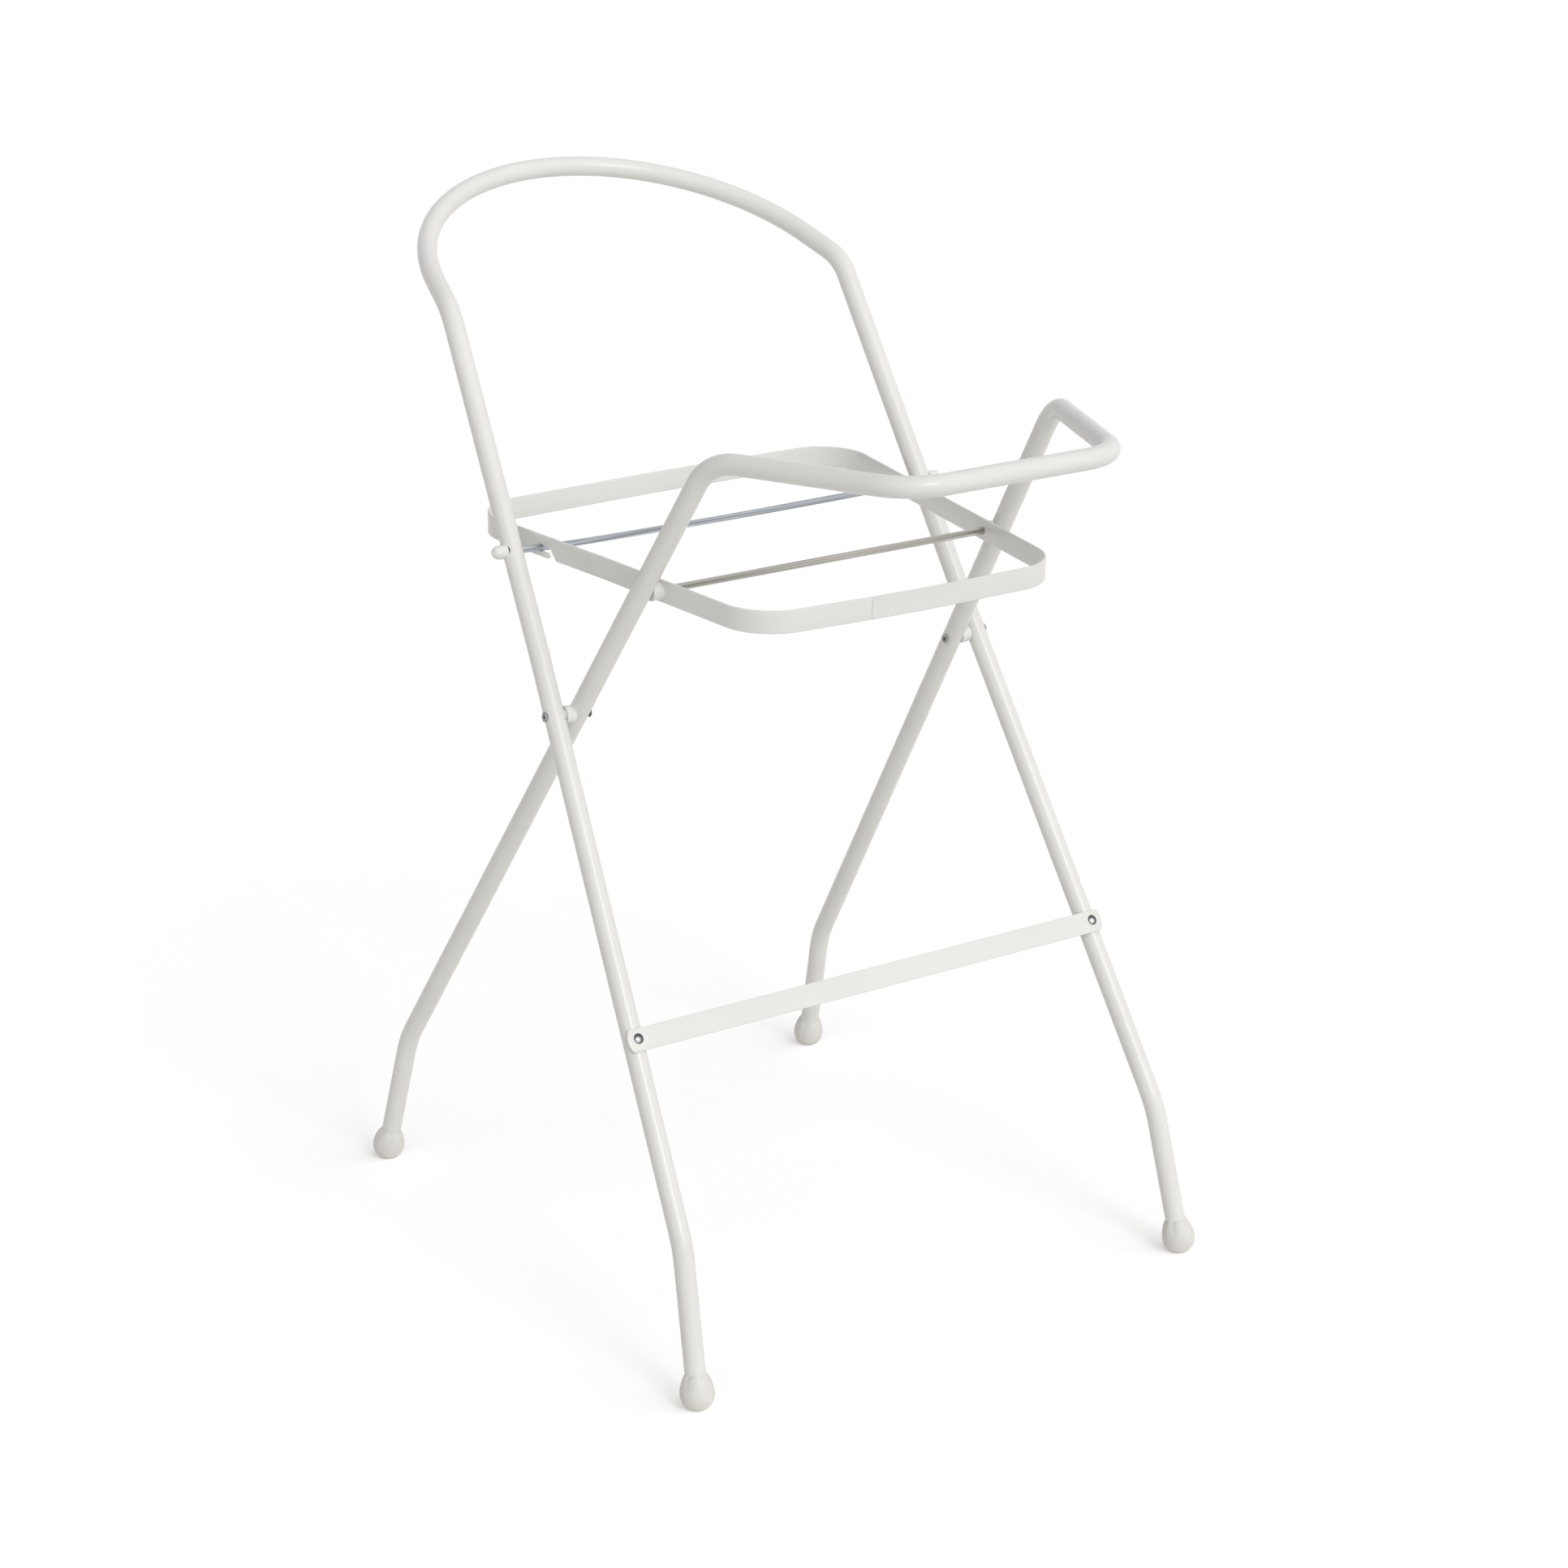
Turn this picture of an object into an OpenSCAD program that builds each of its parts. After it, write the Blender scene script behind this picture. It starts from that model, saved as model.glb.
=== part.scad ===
// Folding baby bath stand. Two frames of bent round tube cross like scissors on
// a pair of rivets. A band of flat strip hangs from a rod in the low frame and
// hooks over a second rod in the tall frame, which holds the stand open.
// Millimetres, +Z up, the front (low frame's loop) towards -Y, floor at z = 0.

/* [Tube] */
// Outer diameter of the frame tube
tube_d = 20; // [18:0.5:22]
// Wall thickness of the frame tube
tube_wall = 1.5; // [1:0.1:2]

/* [Scissor pivot] */
// Height of the pivot above the floor
pivot_z = 585.2; // [570:0.1:600]
// Place of the pivot, front to back, from the middle of the stand
pivot_y = -22.5; // [-30:0.5:-15]
// Height of all four knees above the floor
knee_z = 148; // [120:1:180]
// Centre-line radius of the knee bends
knee_r = 115; // [90:5:160]

/* [Tall frame] */
// Distance between the tall frame's tubes at the pivot, centre to centre
tall_pivot_w = 498; // [494:0.2:502]
// Backward lean of the tall frame's legs, in degrees from upright
tall_lean = 31.9; // [30:0.1:34]
// Lean of its tubes below the knee
tall_foot_lean = 14.9; // [10:0.1:20]
// Inward slope of each leg, in degrees
tall_splay = 4.23; // [3:0.01:5]
// Inward slope of each tube below the knee
tall_foot_splay = 3.4; // [2:0.1:5]
// Inward slope of each tube above the slight bend over the pivot
tall_upper_splay = 3.07; // [2:0.01:4]
// Height of the slight bend over the pivot
tall_bend_z = 633; // [620:1:650]
// Height of the shoulder bends, where the arch leans back
tall_shoulder_z = 933; // [900:1:960]
// Centre-line radius of the shoulder bends
tall_shoulder_r = 54; // [40:1:70]
// Backward lean of the arch, in degrees from upright
arch_lean = 68.5; // [60:0.5:75]
// Length of the arch from its shoulders, along its own lean
arch_reach = 229.6; // [210:0.1:250]
// Inward slope of the arch's sides, in degrees
arch_taper = 11.8; // [8:0.1:15]

/* [Low frame] */
// Distance between the low frame's tubes at the pivot, centre to centre
low_pivot_w = 442.2; // [438:0.2:446]
// Forward lean of the low frame's legs, in degrees from upright
low_lean = 33.98; // [32:0.01:36]
// Lean of its tubes below the knee
low_foot_lean = 15.4; // [10:0.1:20]
// Inward slope of each leg, in degrees
low_splay = 5.33; // [4.5:0.01:6]
// Inward slope of each tube below the knee
low_foot_splay = 4.1; // [2:0.1:5]
// Height of the shoulder bends, where the loop leans forward
low_shoulder_z = 866.3; // [850:0.1:880]
// Centre-line radius of the shoulder bends
low_shoulder_r = 56; // [40:1:65]
// Reach of the loop's front bar in front of its shoulders
loop_reach = 195.6; // [180:0.1:210]
// Rise of the front bar above the shoulders
loop_rise = 4.9; // [0:0.1:10]
// Inward slope of the loop's sides, in degrees
loop_taper = 22.5; // [18:0.1:26]
// Centre-line radius of the loop's two front corners
loop_corner_r = 55; // [40:1:65]

/* [Band] */
// Height of the band's flat strip
band_h = 22; // [20:0.5:24]
// Thickness of the band's strip
band_t = 2.5; // [2:0.1:3]
// Height of the band's middle at the hinge rod
band_z = 721.4; // [720:0.1:722]
// Upward tilt of the band from the hinge rod to its rear, in degrees
band_tilt = 1.43; // [1.2:0.01:1.6]
// Reach of the band's front right corner from the stand's middle line
band_front_right = 168.5; // [164:0.1:172]
// Reach of its front left corner
band_front_left = 171.1; // [167:0.1:174]
// Reach of the slight bend in its left side
band_side_left = 195.6; // [193:0.1:197]
// Reach of its rear right corner
band_rear_right = 229.3; // [225:0.1:232]
// Reach of its rear left corner
band_rear_left = 225.6; // [222:0.1:229]
// Corner radius at the front of the band
band_front_r = 52; // [35:1:60]
// Corner radius at the rear of the band
band_rear_r = 49; // [35:1:60]

/* [Rods] */
// Diameter of the hinge rod through the low frame and the band
hinge_rod_d = 7; // [6:0.1:7.5]
// Diameter of the latch rod through the tall frame
latch_rod_d = 6.4; // [6:0.1:6.8]
// Height of the hinge rod
hinge_z = 720.7; // [719:0.1:722]
// Height of the latch rod
latch_z = 723.5; // [722.5:0.1:724]

/* [Fittings] */
// Outer diameter of the white spacers
spacer_d = 17; // [14:0.5:18]
// Diameter of the caps on the latch rod
cap_d = 13.5; // [12:0.5:16]
// Length of each cap
cap_len = 13; // [11:0.5:16]
// Diameter of the pivot rivets' shanks
rivet_d = 6; // [5:0.1:7]
// Diameter of the pivot rivets' heads
rivet_head_d = 9.8; // [9:0.1:11]
// Width of the crossbar's flat strip
crossbar_h = 22; // [18:0.5:26]
// Thickness of the crossbar's strip
crossbar_t = 2; // [1.5:0.1:3]
// Height at which the crossbar's rivets pass through the leg axes
crossbar_z = 314.8; // [280:0.1:340]
// Diameter of the domed heads of the crossbar's rivets
dome_d = 9.2; // [8:0.1:10]
// Diameter of the round part of each foot
foot_d = 32.8; // [30:0.2:36]
// Height of the middle of each foot's round part
foot_centre_z = 14; // [13:0.5:15]

/* [Hidden] */
$fn = 64;

tube_r = tube_d / 2;
bore_r = tube_r - tube_wall;
run_gap = 0.3;        // air between faces of two bodies that turn past each other
pin_gap = 0.08;       // radial clearance of a pin in a hole that turns on it
fixed_gap = 0.02;     // clearance between pieces that are fixed together
bend_skin = 0.02;     // a bend is this much thinner than the runs it joins, each side
bend_lap = 0.6;       // length by which a bend reaches into the runs it joins

// ---- centre lines of the bent tubes and of the band ----

function unit(v) = v / norm(v);

// A knot of a centre line is [x, y, z, bend radius]; an open end has radius 0.
function at(knot) = [knot[0], knot[1], knot[2]];
function mirrored(knot) = [-knot[0], knot[1], knot[2], knot[3]];
function backwards(list) = [for (i = [len(list) - 1 : -1 : 0]) list[i]];
function both_sides(half) = concat(half, [for (k = backwards(half)) mirrored(k)]);

// Direction of the run from knot i to the next, and the angle turned at knot i
function run_dir(path, i) = unit(at(path[i + 1]) - at(path[i]));
function turned(path, i) = acos(run_dir(path, i - 1) * run_dir(path, i));

// Length that the bend at knot i takes from the runs on each side of it
function setback(path, i) =
    i == 0 || i == len(path) - 1 ? 0 : path[i][3] * tan(turned(path, i) / 2);

// Point on the tall frame's right leg axis at a height z
tall_bend_x = tall_pivot_w / 2 - (tall_bend_z - pivot_z) * tan(tall_splay);
function tall_leg(z) = [
    z < tall_bend_z
        ? tall_pivot_w / 2 - (z - pivot_z) * tan(tall_splay)
        : tall_bend_x - (z - tall_bend_z) * tan(tall_upper_splay),
    pivot_y + (z - pivot_z) * tan(tall_lean),
    z
];

// The same for the low frame
function low_leg(z) = [
    low_pivot_w / 2 - (z - pivot_z) * tan(low_splay),
    pivot_y - (z - pivot_z) * tan(low_lean),
    z
];

// Directions of the right legs upwards, along the legs and below the knees
tall_dir = unit([-tan(tall_splay), tan(tall_lean), 1]);
low_dir = unit([-tan(low_splay), -tan(low_lean), 1]);
tall_foot_dir = unit([-tan(tall_foot_splay), tan(tall_foot_lean), 1]);
low_foot_dir = unit([-tan(low_foot_splay), -tan(low_foot_lean), 1]);

// Where the axis of a tube below its knee meets a height z
function below_knee(knee, dir, z) = knee + dir * ((z - knee[2]) / dir[2]);

tube_end_z = 8;       // height of the tubes' lower ends, inside the feet
tall_bend_r = 400;    // radius of the slight bend over the pivot

tall_knee = tall_leg(knee_z);
tall_shoulder = tall_leg(tall_shoulder_z);
// The arch's sides would meet this far behind its shoulders, and one bend joins them
arch_meet = tall_shoulder[0] / tan(arch_taper);
arch_peak = tall_shoulder + arch_meet * [-tan(arch_taper), sin(arch_lean), cos(arch_lean)];
arch_r = (arch_meet - arch_reach) / (1 / sin(arch_taper) - 1);
tall_half = [
    [each below_knee(tall_knee, tall_foot_dir, tube_end_z), 0],
    [each tall_knee, knee_r],
    [each tall_leg(tall_bend_z), tall_bend_r],
    [each tall_shoulder, tall_shoulder_r]
];
tall_path = concat(
    tall_half, [[0, arch_peak[1], arch_peak[2], arch_r]],
    [for (k = backwards(tall_half)) mirrored(k)]
);

low_knee = low_leg(knee_z);
low_shoulder = low_leg(low_shoulder_z);
loop_corner = low_shoulder + [-loop_reach * tan(loop_taper), -loop_reach, loop_rise];
low_path = both_sides([
    [each below_knee(low_knee, low_foot_dir, tube_end_z), 0],
    [each low_knee, knee_r],
    [each low_shoulder, low_shoulder_r],
    [each loop_corner, loop_corner_r]
]);

bow_r = 1500;             // radius of the bowed middles of the band's front and rear
side_bend_r = 600;        // radius of the slight bend in its left side
// The band is bent a little lopsided. Its knots are given before it is tilted.
band_path = [
    [0, -264, band_z, bow_r],
    [band_front_right, -260.7, band_z, band_front_r],
    [band_rear_right, 193.3, band_z, band_rear_r],
    [0, 192.8, band_z, bow_r],
    [-band_rear_left, 182.5, band_z, band_rear_r],
    [-band_side_left, -30.8, band_z, side_bend_r],
    [-band_front_left, -252.2, band_z, band_front_r]
];

// ---- placing and sweeping ----

// Moves its children so that their Z runs along z_dir and their X along x_dir
module aimed(origin, x_dir, z_dir) {
    y_dir = cross(z_dir, x_dir);
    multmatrix([
        [x_dir[0], y_dir[0], z_dir[0], origin[0]],
        [x_dir[1], y_dir[1], z_dir[1], origin[1]],
        [x_dir[2], y_dir[2], z_dir[2], origin[2]],
        [0, 0, 0, 1]
    ])
        children();
}

// Level direction square to d
function level(d) = unit(cross(d, [0, 0, 1]));

// Draws children() on the right side and, mirrored, on the left
module right_side() { children(); }
module left_side() { mirror([1, 0, 0]) children(); }
module each_side() {
    right_side() children();
    left_side() children();
}

// Round bar along X through a place in the YZ plane
module bar_x(x0, x1, place, r) {
    translate([x0, place[1], place[2]])
        rotate([0, 90, 0])
            cylinder(h = x1 - x0, r = r);
}

// Sweeps child 0 along the straight runs of a centre line and child 1 round its
// bends. Each profile's X is level on a run and radial in a bend.
module follow(path, closed = false) {
    knots = closed ? concat([path[len(path) - 1]], path, [path[0], path[1]]) : path;
    first = closed ? 1 : 0;
    last = len(knots) - 2 - first;
    for (i = [first : last]) {
        d = run_dir(knots, i);
        span = norm(at(knots[i + 1]) - at(knots[i]));
        aimed(at(knots[i]) + d * setback(knots, i), level(d), d)
            linear_extrude(height = span - setback(knots, i) - setback(knots, i + 1))
                children(0);
    }
    for (i = [1 : last]) {
        d = run_dir(knots, i - 1);
        inward = unit(run_dir(knots, i) - d * (run_dir(knots, i) * d));
        start = at(knots[i]) - d * setback(knots, i);
        lap = bend_lap / knots[i][3] * 180 / PI;
        aimed(start + inward * knots[i][3], -inward, cross(-inward, d))
            rotate([0, 0, -lap])
                rotate_extrude(angle = turned(knots, i) + 2 * lap)
                    translate([knots[i][3], 0])
                        children(1);
    }
}

module ring(r_in, r_out) {
    difference() {
        circle(r = r_out);
        circle(r = r_in);
    }
}

module bent_tube(path) {
    follow(path) {
        ring(bore_r, tube_r);
        ring(bore_r + bend_skin, tube_r - bend_skin);
    }
}

// ---- pivot, rods and the places that they set ----

pivot = [0, pivot_y, pivot_z];
hinge = low_leg(hinge_z);
latch = tall_leg(latch_z);

// Half-length, along X, of a tube's section where its leg slopes inwards
function half_chord(dir, r) = r / sqrt(1 - dir[0] * dir[0]);

// How far a leg's wall moves sideways within a round face of radius r
function wall_drift(dir, r) = r * abs(dir[0]) / sqrt(1 - dir[0] * dir[0]);

tall_outer_x = tall_pivot_w / 2 + 8.9;    // sunk seat of the rivets' outer heads
tall_inner_x = tall_pivot_w / 2 - half_chord(tall_dir, tube_r);
low_inner_x = low_pivot_w / 2 - half_chord(low_dir, tube_r);
spacer_r = spacer_d / 2;
rivet_r = rivet_d / 2;
rivet_head_r = rivet_head_d / 2;
rivet_head_t = 1.2;       // thickness of a rivet's head
rivet_tail_r = 4;         // radius of its rolled inner end
rivet_hole_r = 1.6;       // the rivets are hollow
washer_r = 5.2;
washer_t = 1;

// Face of the pivot spacer that turns past the tall frame
pivot_spacer_x = tall_inner_x - wall_drift(tall_dir, spacer_r) - run_gap;
// Face of the pivot washer that turns past the low frame
washer_x = low_inner_x - wall_drift(low_dir, washer_r) - run_gap;

// ---- tall frame and what is fixed to it ----

// Places its children on a crossbar rivet's axis: Z forward and up, out of the leg
crossbar_leg = tall_leg(crossbar_z);
crossbar_out = unit(cross([1, 0, 0], tall_dir));
module on_crossbar(x) {
    aimed([x, crossbar_leg[1], crossbar_leg[2]], [1, 0, 0], crossbar_out) children();
}

shank_r = 2.5;            // radius of the crossbar rivets' shanks
module tall_frame() {
    color("white")
        difference() {
            bent_tube(tall_path);
            bar_x(-300, 300, latch, latch_rod_d / 2 + fixed_gap);
            bar_x(-300, 300, pivot, rivet_r + fixed_gap);
            each_side() {
                bar_x(tall_outer_x, 300, pivot, rivet_head_r + run_gap);
                on_crossbar(crossbar_leg[0])
                    translate([0, 0, -2 * tube_r])
                        cylinder(h = 4 * tube_r, r = shank_r + fixed_gap);
            }
        }
}

crossbar_end = 11.5;      // length of strip beyond each rivet
crossbar_end_r = 18;      // radius of its rounded ends
crossbar_drop = 1.2;      // the strip's middle is this far below its rivets
module crossbar() {
    half = crossbar_leg[0] + crossbar_end;
    color("white")
        on_crossbar(0)
            translate([0, 0, tube_r + fixed_gap])
                linear_extrude(height = crossbar_t)
                    difference() {
                        translate([0, -crossbar_drop]) {
                            square([2 * (half - crossbar_end_r), crossbar_h], center = true);
                            for (side = [-1, 1])
                                translate([side * (half - crossbar_end_r), 0])
                                    intersection() {
                                        circle(r = crossbar_end_r);
                                        square([2 * crossbar_end_r, crossbar_h], center = true);
                                    }
                        }
                        for (side = [-1, 1])
                            translate([side * crossbar_leg[0], 0])
                                circle(r = shank_r + fixed_gap);
                    }
}

dome_h = 2.4;             // height of the crossbar rivets' domes
tail_r = 4;               // radius of their flat rear heads
tail_t = 1.2;
module crossbar_rivet() {
    front = tube_r + crossbar_t + 2 * fixed_gap;
    dome_r = (pow(dome_d / 2, 2) + dome_h * dome_h) / (2 * dome_h);
    color("silver")
        on_crossbar(crossbar_leg[0]) {
            translate([0, 0, -tube_r - tail_t])
                cylinder(h = front + tube_r + tail_t + 0.5, r = shank_r);
            translate([0, 0, -tube_r - fixed_gap - tail_t])
                cylinder(h = tail_t, r = tail_r);
            intersection() {
                translate([0, 0, front + dome_h - dome_r]) sphere(r = dome_r);
                translate([0, 0, front]) cylinder(h = 2 * dome_h, r = dome_d / 2);
            }
        }
}

// Latch rod, its caps and the push-on clips between the caps and the tubes
clip_t = 1;
clip_r = 5.6;
clip_x = latch[0] + half_chord(tall_dir, tube_r) + wall_drift(tall_dir, clip_r) + fixed_gap;
cap_x = clip_x + clip_t + fixed_gap;
cap_bore = 9;             // depth of the rod's end in each cap
module latch_rod() {
    rod_x = cap_x + cap_bore - run_gap;
    color("silver") bar_x(-rod_x, rod_x, latch, latch_rod_d / 2);
}

module latch_clip() {
    color("dimgray")
        difference() {
            bar_x(clip_x, clip_x + clip_t, latch, clip_r);
            bar_x(clip_x - 1, clip_x + clip_t + 1, latch, latch_rod_d / 2 + fixed_gap);
        }
}

dome_step = 0.2;          // the cap's dome is this much slimmer than its skirt
module latch_cap() {
    cap_dome_r = cap_d / 2 - dome_step;
    skirt = cap_len - cap_dome_r;
    color("white")
        difference() {
            union() {
                bar_x(cap_x, cap_x + skirt, latch, cap_d / 2);
                translate([cap_x + skirt, latch[1], latch[2]]) sphere(r = cap_dome_r);
            }
            bar_x(cap_x - 1, cap_x + cap_bore, latch, latch_rod_d / 2 + fixed_gap);
        }
}

module pivot_rivet() {
    tail_x = washer_x - washer_t - fixed_gap - rivet_head_t;
    head_x = tall_outer_x + fixed_gap;
    color("silver")
        difference() {
            union() {
                bar_x(tail_x, head_x + rivet_head_t, pivot, rivet_r);
                bar_x(tail_x, tail_x + rivet_head_t, pivot, rivet_tail_r);
                bar_x(head_x, head_x + rivet_head_t, pivot, rivet_head_r);
            }
            bar_x(tail_x - 1, head_x + rivet_head_t + 1, pivot, rivet_hole_r);
        }
}

module pivot_washer() {
    color("silver")
        difference() {
            bar_x(washer_x - washer_t, washer_x, pivot, washer_r);
            bar_x(washer_x - 2 * washer_t, washer_x + 1, pivot, rivet_r + fixed_gap);
        }
}

// ---- feet ----

neck_r = 11.4;            // radius of a foot's top edge round the tube
neck_h = 21;              // its height over the middle of the round part
neck_base_r = 15.8;       // where the neck's cone starts inside the round part
neck_base_h = 2;
socket_h = 60;            // the tube's socket runs up through the neck
module foot(knee, dir) {
    centre = below_knee(knee, dir, foot_centre_z);
    color("whitesmoke")
        difference() {
            aimed(centre, level(dir), dir) {
                sphere(r = foot_d / 2);
                translate([0, 0, neck_base_h])
                    cylinder(h = neck_h - neck_base_h, r1 = neck_base_r, r2 = neck_r);
            }
            aimed(below_knee(knee, dir, tube_end_z - fixed_gap), level(dir), dir)
                cylinder(h = socket_h, r = tube_r + fixed_gap);
            translate([centre[0], centre[1], -foot_d])
                cylinder(h = foot_d, r = foot_d);
        }
}

// ---- low frame and what is fixed to it ----

rod_grip = 3;             // the hinge rod ends this far past the tubes' axes
module low_frame() {
    color("white")
        difference() {
            bent_tube(low_path);
            bar_x(-hinge[0], hinge[0], hinge, hinge_rod_d / 2 + fixed_gap);
            bar_x(-300, 300, pivot, rivet_r + pin_gap);
        }
}

module hinge_rod() {
    color("silver") bar_x(-hinge[0] - rod_grip, hinge[0] + rod_grip, hinge, hinge_rod_d / 2);
}

// Spacer between the two frames: saddled on the low frame, flat to the tall one
module pivot_spacer() {
    low_centre = low_leg(pivot_z);
    color("whitesmoke")
        difference() {
            bar_x(low_centre[0], pivot_spacer_x, pivot, spacer_r);
            bar_x(0, 300, pivot, rivet_r + pin_gap);
            aimed(low_centre - low_dir * 30, level(low_dir), low_dir)
                cylinder(h = 60, r = tube_r + fixed_gap);
        }
}

// ---- band ----

// Outline of the hook slot in the YZ plane: a mouth in the band's lower edge
// with a sloping front, and a seat over the latch rod
slot_r = latch_rod_d / 2 + 0.5;   // radius of the seat
mouth_z = 714.5;          // height of the band's lower edge at the hooks
mouth_front = [40.6, mouth_z];    // front of the mouth, at the band's lower edge
mouth_top = [48.7, 724.9];        // where its sloping front ends
mouth_rear_y = 62;        // rear of the mouth at the band's lower edge
module slot_outline() {
    slope = (mouth_top[0] - mouth_front[0]) / (mouth_top[1] - mouth_front[1]);
    low = mouth_z - 4;
    seat = [latch[1] + 0.1, latch[2] - 0.1];
    translate(seat) circle(r = slot_r);
    polygon([
        [mouth_front[0] - (mouth_z - low) * slope, low], mouth_top,
        [mouth_top[0] + 2.2, seat[1] + slot_r], [seat[0], seat[1] + slot_r],
        [seat[0] + slot_r, seat[1]], [mouth_rear_y, mouth_z], [mouth_rear_y, low]
    ]);
}

// Tilts what is drawn level about the hinge rod, rear upwards
module tilted() {
    translate(hinge) rotate([band_tilt, 0, 0]) translate(-hinge) children();
}

// Turns an outline drawn in (y, z) to stand in the YZ plane and runs it along X
module slot_cut() {
    translate([150, 0, 0])
        rotate([90, 0, 90])
            linear_extrude(height = 100)
                slot_outline();
}

module support_band() {
    color("white")
        difference() {
            tilted()
                follow(band_path, closed = true) {
                    square([band_t, band_h], center = true);
                    square([band_t - 2 * bend_skin, band_h - 2 * bend_skin], center = true);
                }
            bar_x(-300, 300, hinge, hinge_rod_d / 2 + pin_gap);
            each_side() slot_cut();
        }
}

// Spacer between the band and the low frame's right tube, cut to the slant of the
// band's side, which runs from its front corner towards a knot further back
module hinge_spacer(corner, further) {
    slant = unit(at(further) - at(corner));
    flat_x = hinge[0] - half_chord(low_dir, tube_r) - wall_drift(low_dir, spacer_r) - run_gap;
    color("whitesmoke")
        difference() {
            bar_x(corner[0], flat_x, hinge, spacer_r);
            bar_x(0, 300, hinge, hinge_rod_d / 2 + pin_gap);
            tilted()
                aimed(at(corner), level(slant), slant)
                    translate([band_t / 2 + fixed_gap - 50, -50, 0])
                        cube([50, 100, 400]);
        }
}
right_corner = band_path[1];
right_further = band_path[2];
left_corner = mirrored(band_path[6]);
left_further = mirrored(band_path[5]);

tall_frame();
crossbar();
latch_rod();
left_side() latch_cap();  // latch_cap_left
right_side() latch_cap();  // latch_cap_right
left_side() latch_clip();  // latch_clip_left
right_side() latch_clip();  // latch_clip_right
left_side() crossbar_rivet();  // crossbar_rivet_left
right_side() crossbar_rivet();  // crossbar_rivet_right
left_side() pivot_rivet();  // pivot_rivet_left
right_side() pivot_rivet();  // pivot_rivet_right
left_side() pivot_washer();  // pivot_washer_left
right_side() pivot_washer();  // pivot_washer_right
left_side() foot(tall_knee, tall_foot_dir);  // foot_front_left
right_side() foot(tall_knee, tall_foot_dir);  // foot_front_right
low_frame();
hinge_rod();
left_side() pivot_spacer();  // pivot_spacer_left
right_side() pivot_spacer();  // pivot_spacer_right
left_side() foot(low_knee, low_foot_dir);  // foot_rear_left
right_side() foot(low_knee, low_foot_dir);  // foot_rear_right
support_band();
left_side() hinge_spacer(left_corner, left_further);  // hinge_spacer_left
right_side() hinge_spacer(right_corner, right_further);  // hinge_spacer_right
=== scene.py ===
"""Folding baby bath stand: the visible pieces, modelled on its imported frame.

Lengths in this file are millimetres and angles are degrees until they reach Blender.
+X is the stand's right side, -Y its front (the low frame's loop) and z = 0 the floor.
"""

from contextlib import contextmanager
from math import asin, atan2, cos, degrees, pi, radians, sin, sqrt, tan

import bmesh
import bpy
from mathutils import Euler, Matrix, Vector


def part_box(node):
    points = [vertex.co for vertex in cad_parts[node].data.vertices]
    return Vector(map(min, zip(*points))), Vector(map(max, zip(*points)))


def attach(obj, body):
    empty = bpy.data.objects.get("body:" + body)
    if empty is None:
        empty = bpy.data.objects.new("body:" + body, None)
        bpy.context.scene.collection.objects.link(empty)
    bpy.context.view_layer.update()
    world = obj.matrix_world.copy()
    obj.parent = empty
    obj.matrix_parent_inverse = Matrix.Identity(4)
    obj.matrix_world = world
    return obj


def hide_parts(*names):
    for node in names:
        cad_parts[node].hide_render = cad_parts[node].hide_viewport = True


bl_info = {
    "name": "Baby Bath Stand",
    "version": (1, 0, 0),
    "blender": (4, 5, 0),
    "location": "View3D > Sidebar > Bath Stand",
    "description": "Models and finishes the visible pieces of a folding baby bath stand",
    "category": "Add Mesh",
}

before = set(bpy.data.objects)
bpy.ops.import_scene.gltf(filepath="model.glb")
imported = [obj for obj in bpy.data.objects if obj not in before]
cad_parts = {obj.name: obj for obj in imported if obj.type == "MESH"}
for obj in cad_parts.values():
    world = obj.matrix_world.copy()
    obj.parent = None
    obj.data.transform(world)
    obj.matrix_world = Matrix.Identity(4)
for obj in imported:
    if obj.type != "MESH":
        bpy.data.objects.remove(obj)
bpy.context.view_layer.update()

MM = 0.001
X, Y, Z = Vector((1, 0, 0)), Vector((0, 1, 0)), Vector((0, 0, 1))
TALL, LOW, BAND = "tall_assembly", "low_assembly", "band_assembly"
GAP = 0.02                # between pieces that are fixed together
MERGE = 0.002             # vertices nearer than this are made one


# ---- places, taken from the frame and from the stand's own measures ----

def middle(node):
    """Centre of a CAD node's box, in millimetres."""
    low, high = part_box(node)
    return (low + high) / 2 / MM


def reach(node):
    """Largest x of a CAD node, in millimetres."""
    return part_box(node)[1].x / MM


PIVOT = middle("pivot_washer_right")      # only its y and z are used
HINGE = middle("hinge_rod")
LATCH = middle("latch_rod")

KNEE_Z = 148
KNEE_R = 115
TUBE_END_Z = 8

TALL_HALF = 249
TALL_LEAN = 31.9
TALL_FOOT_LEAN = 14.9
TALL_SPLAY = 4.23
TALL_FOOT_SPLAY = 3.4
TALL_UPPER_SPLAY = 3.07
TALL_BEND_Z = 633
TALL_BEND_R = 400
TALL_SHOULDER_Z = 933
TALL_SHOULDER_R = 54
ARCH_LEAN = 68.5
ARCH_REACH = 229.6
ARCH_TAPER = 11.8

LOW_HALF = 221.1
LOW_LEAN = 33.98
LOW_FOOT_LEAN = 15.4
LOW_SPLAY = 5.33
LOW_FOOT_SPLAY = 4.1
LOW_SHOULDER_Z = 866.3
LOW_SHOULDER_R = 56
LOOP_REACH = 195.6
LOOP_RISE = 4.9
LOOP_TAPER = 22.5
LOOP_CORNER_R = 55

BAND_Z = 721.4            # height of the band's middle at the hinge rod, before the tilt
BAND_TILT = 1.43          # rear upwards, about the hinge rod
BAND_KNOTS = (            # x, y, bend radius of the level centre line
    (168.5, -260.7, 52), (229.3, 193.3, 49), (0, 192.8, 1500),
    (-225.6, 182.5, 49), (-195.6, -30.8, 600), (-171.1, -252.2, 52), (0, -264, 1500),
)

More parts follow.
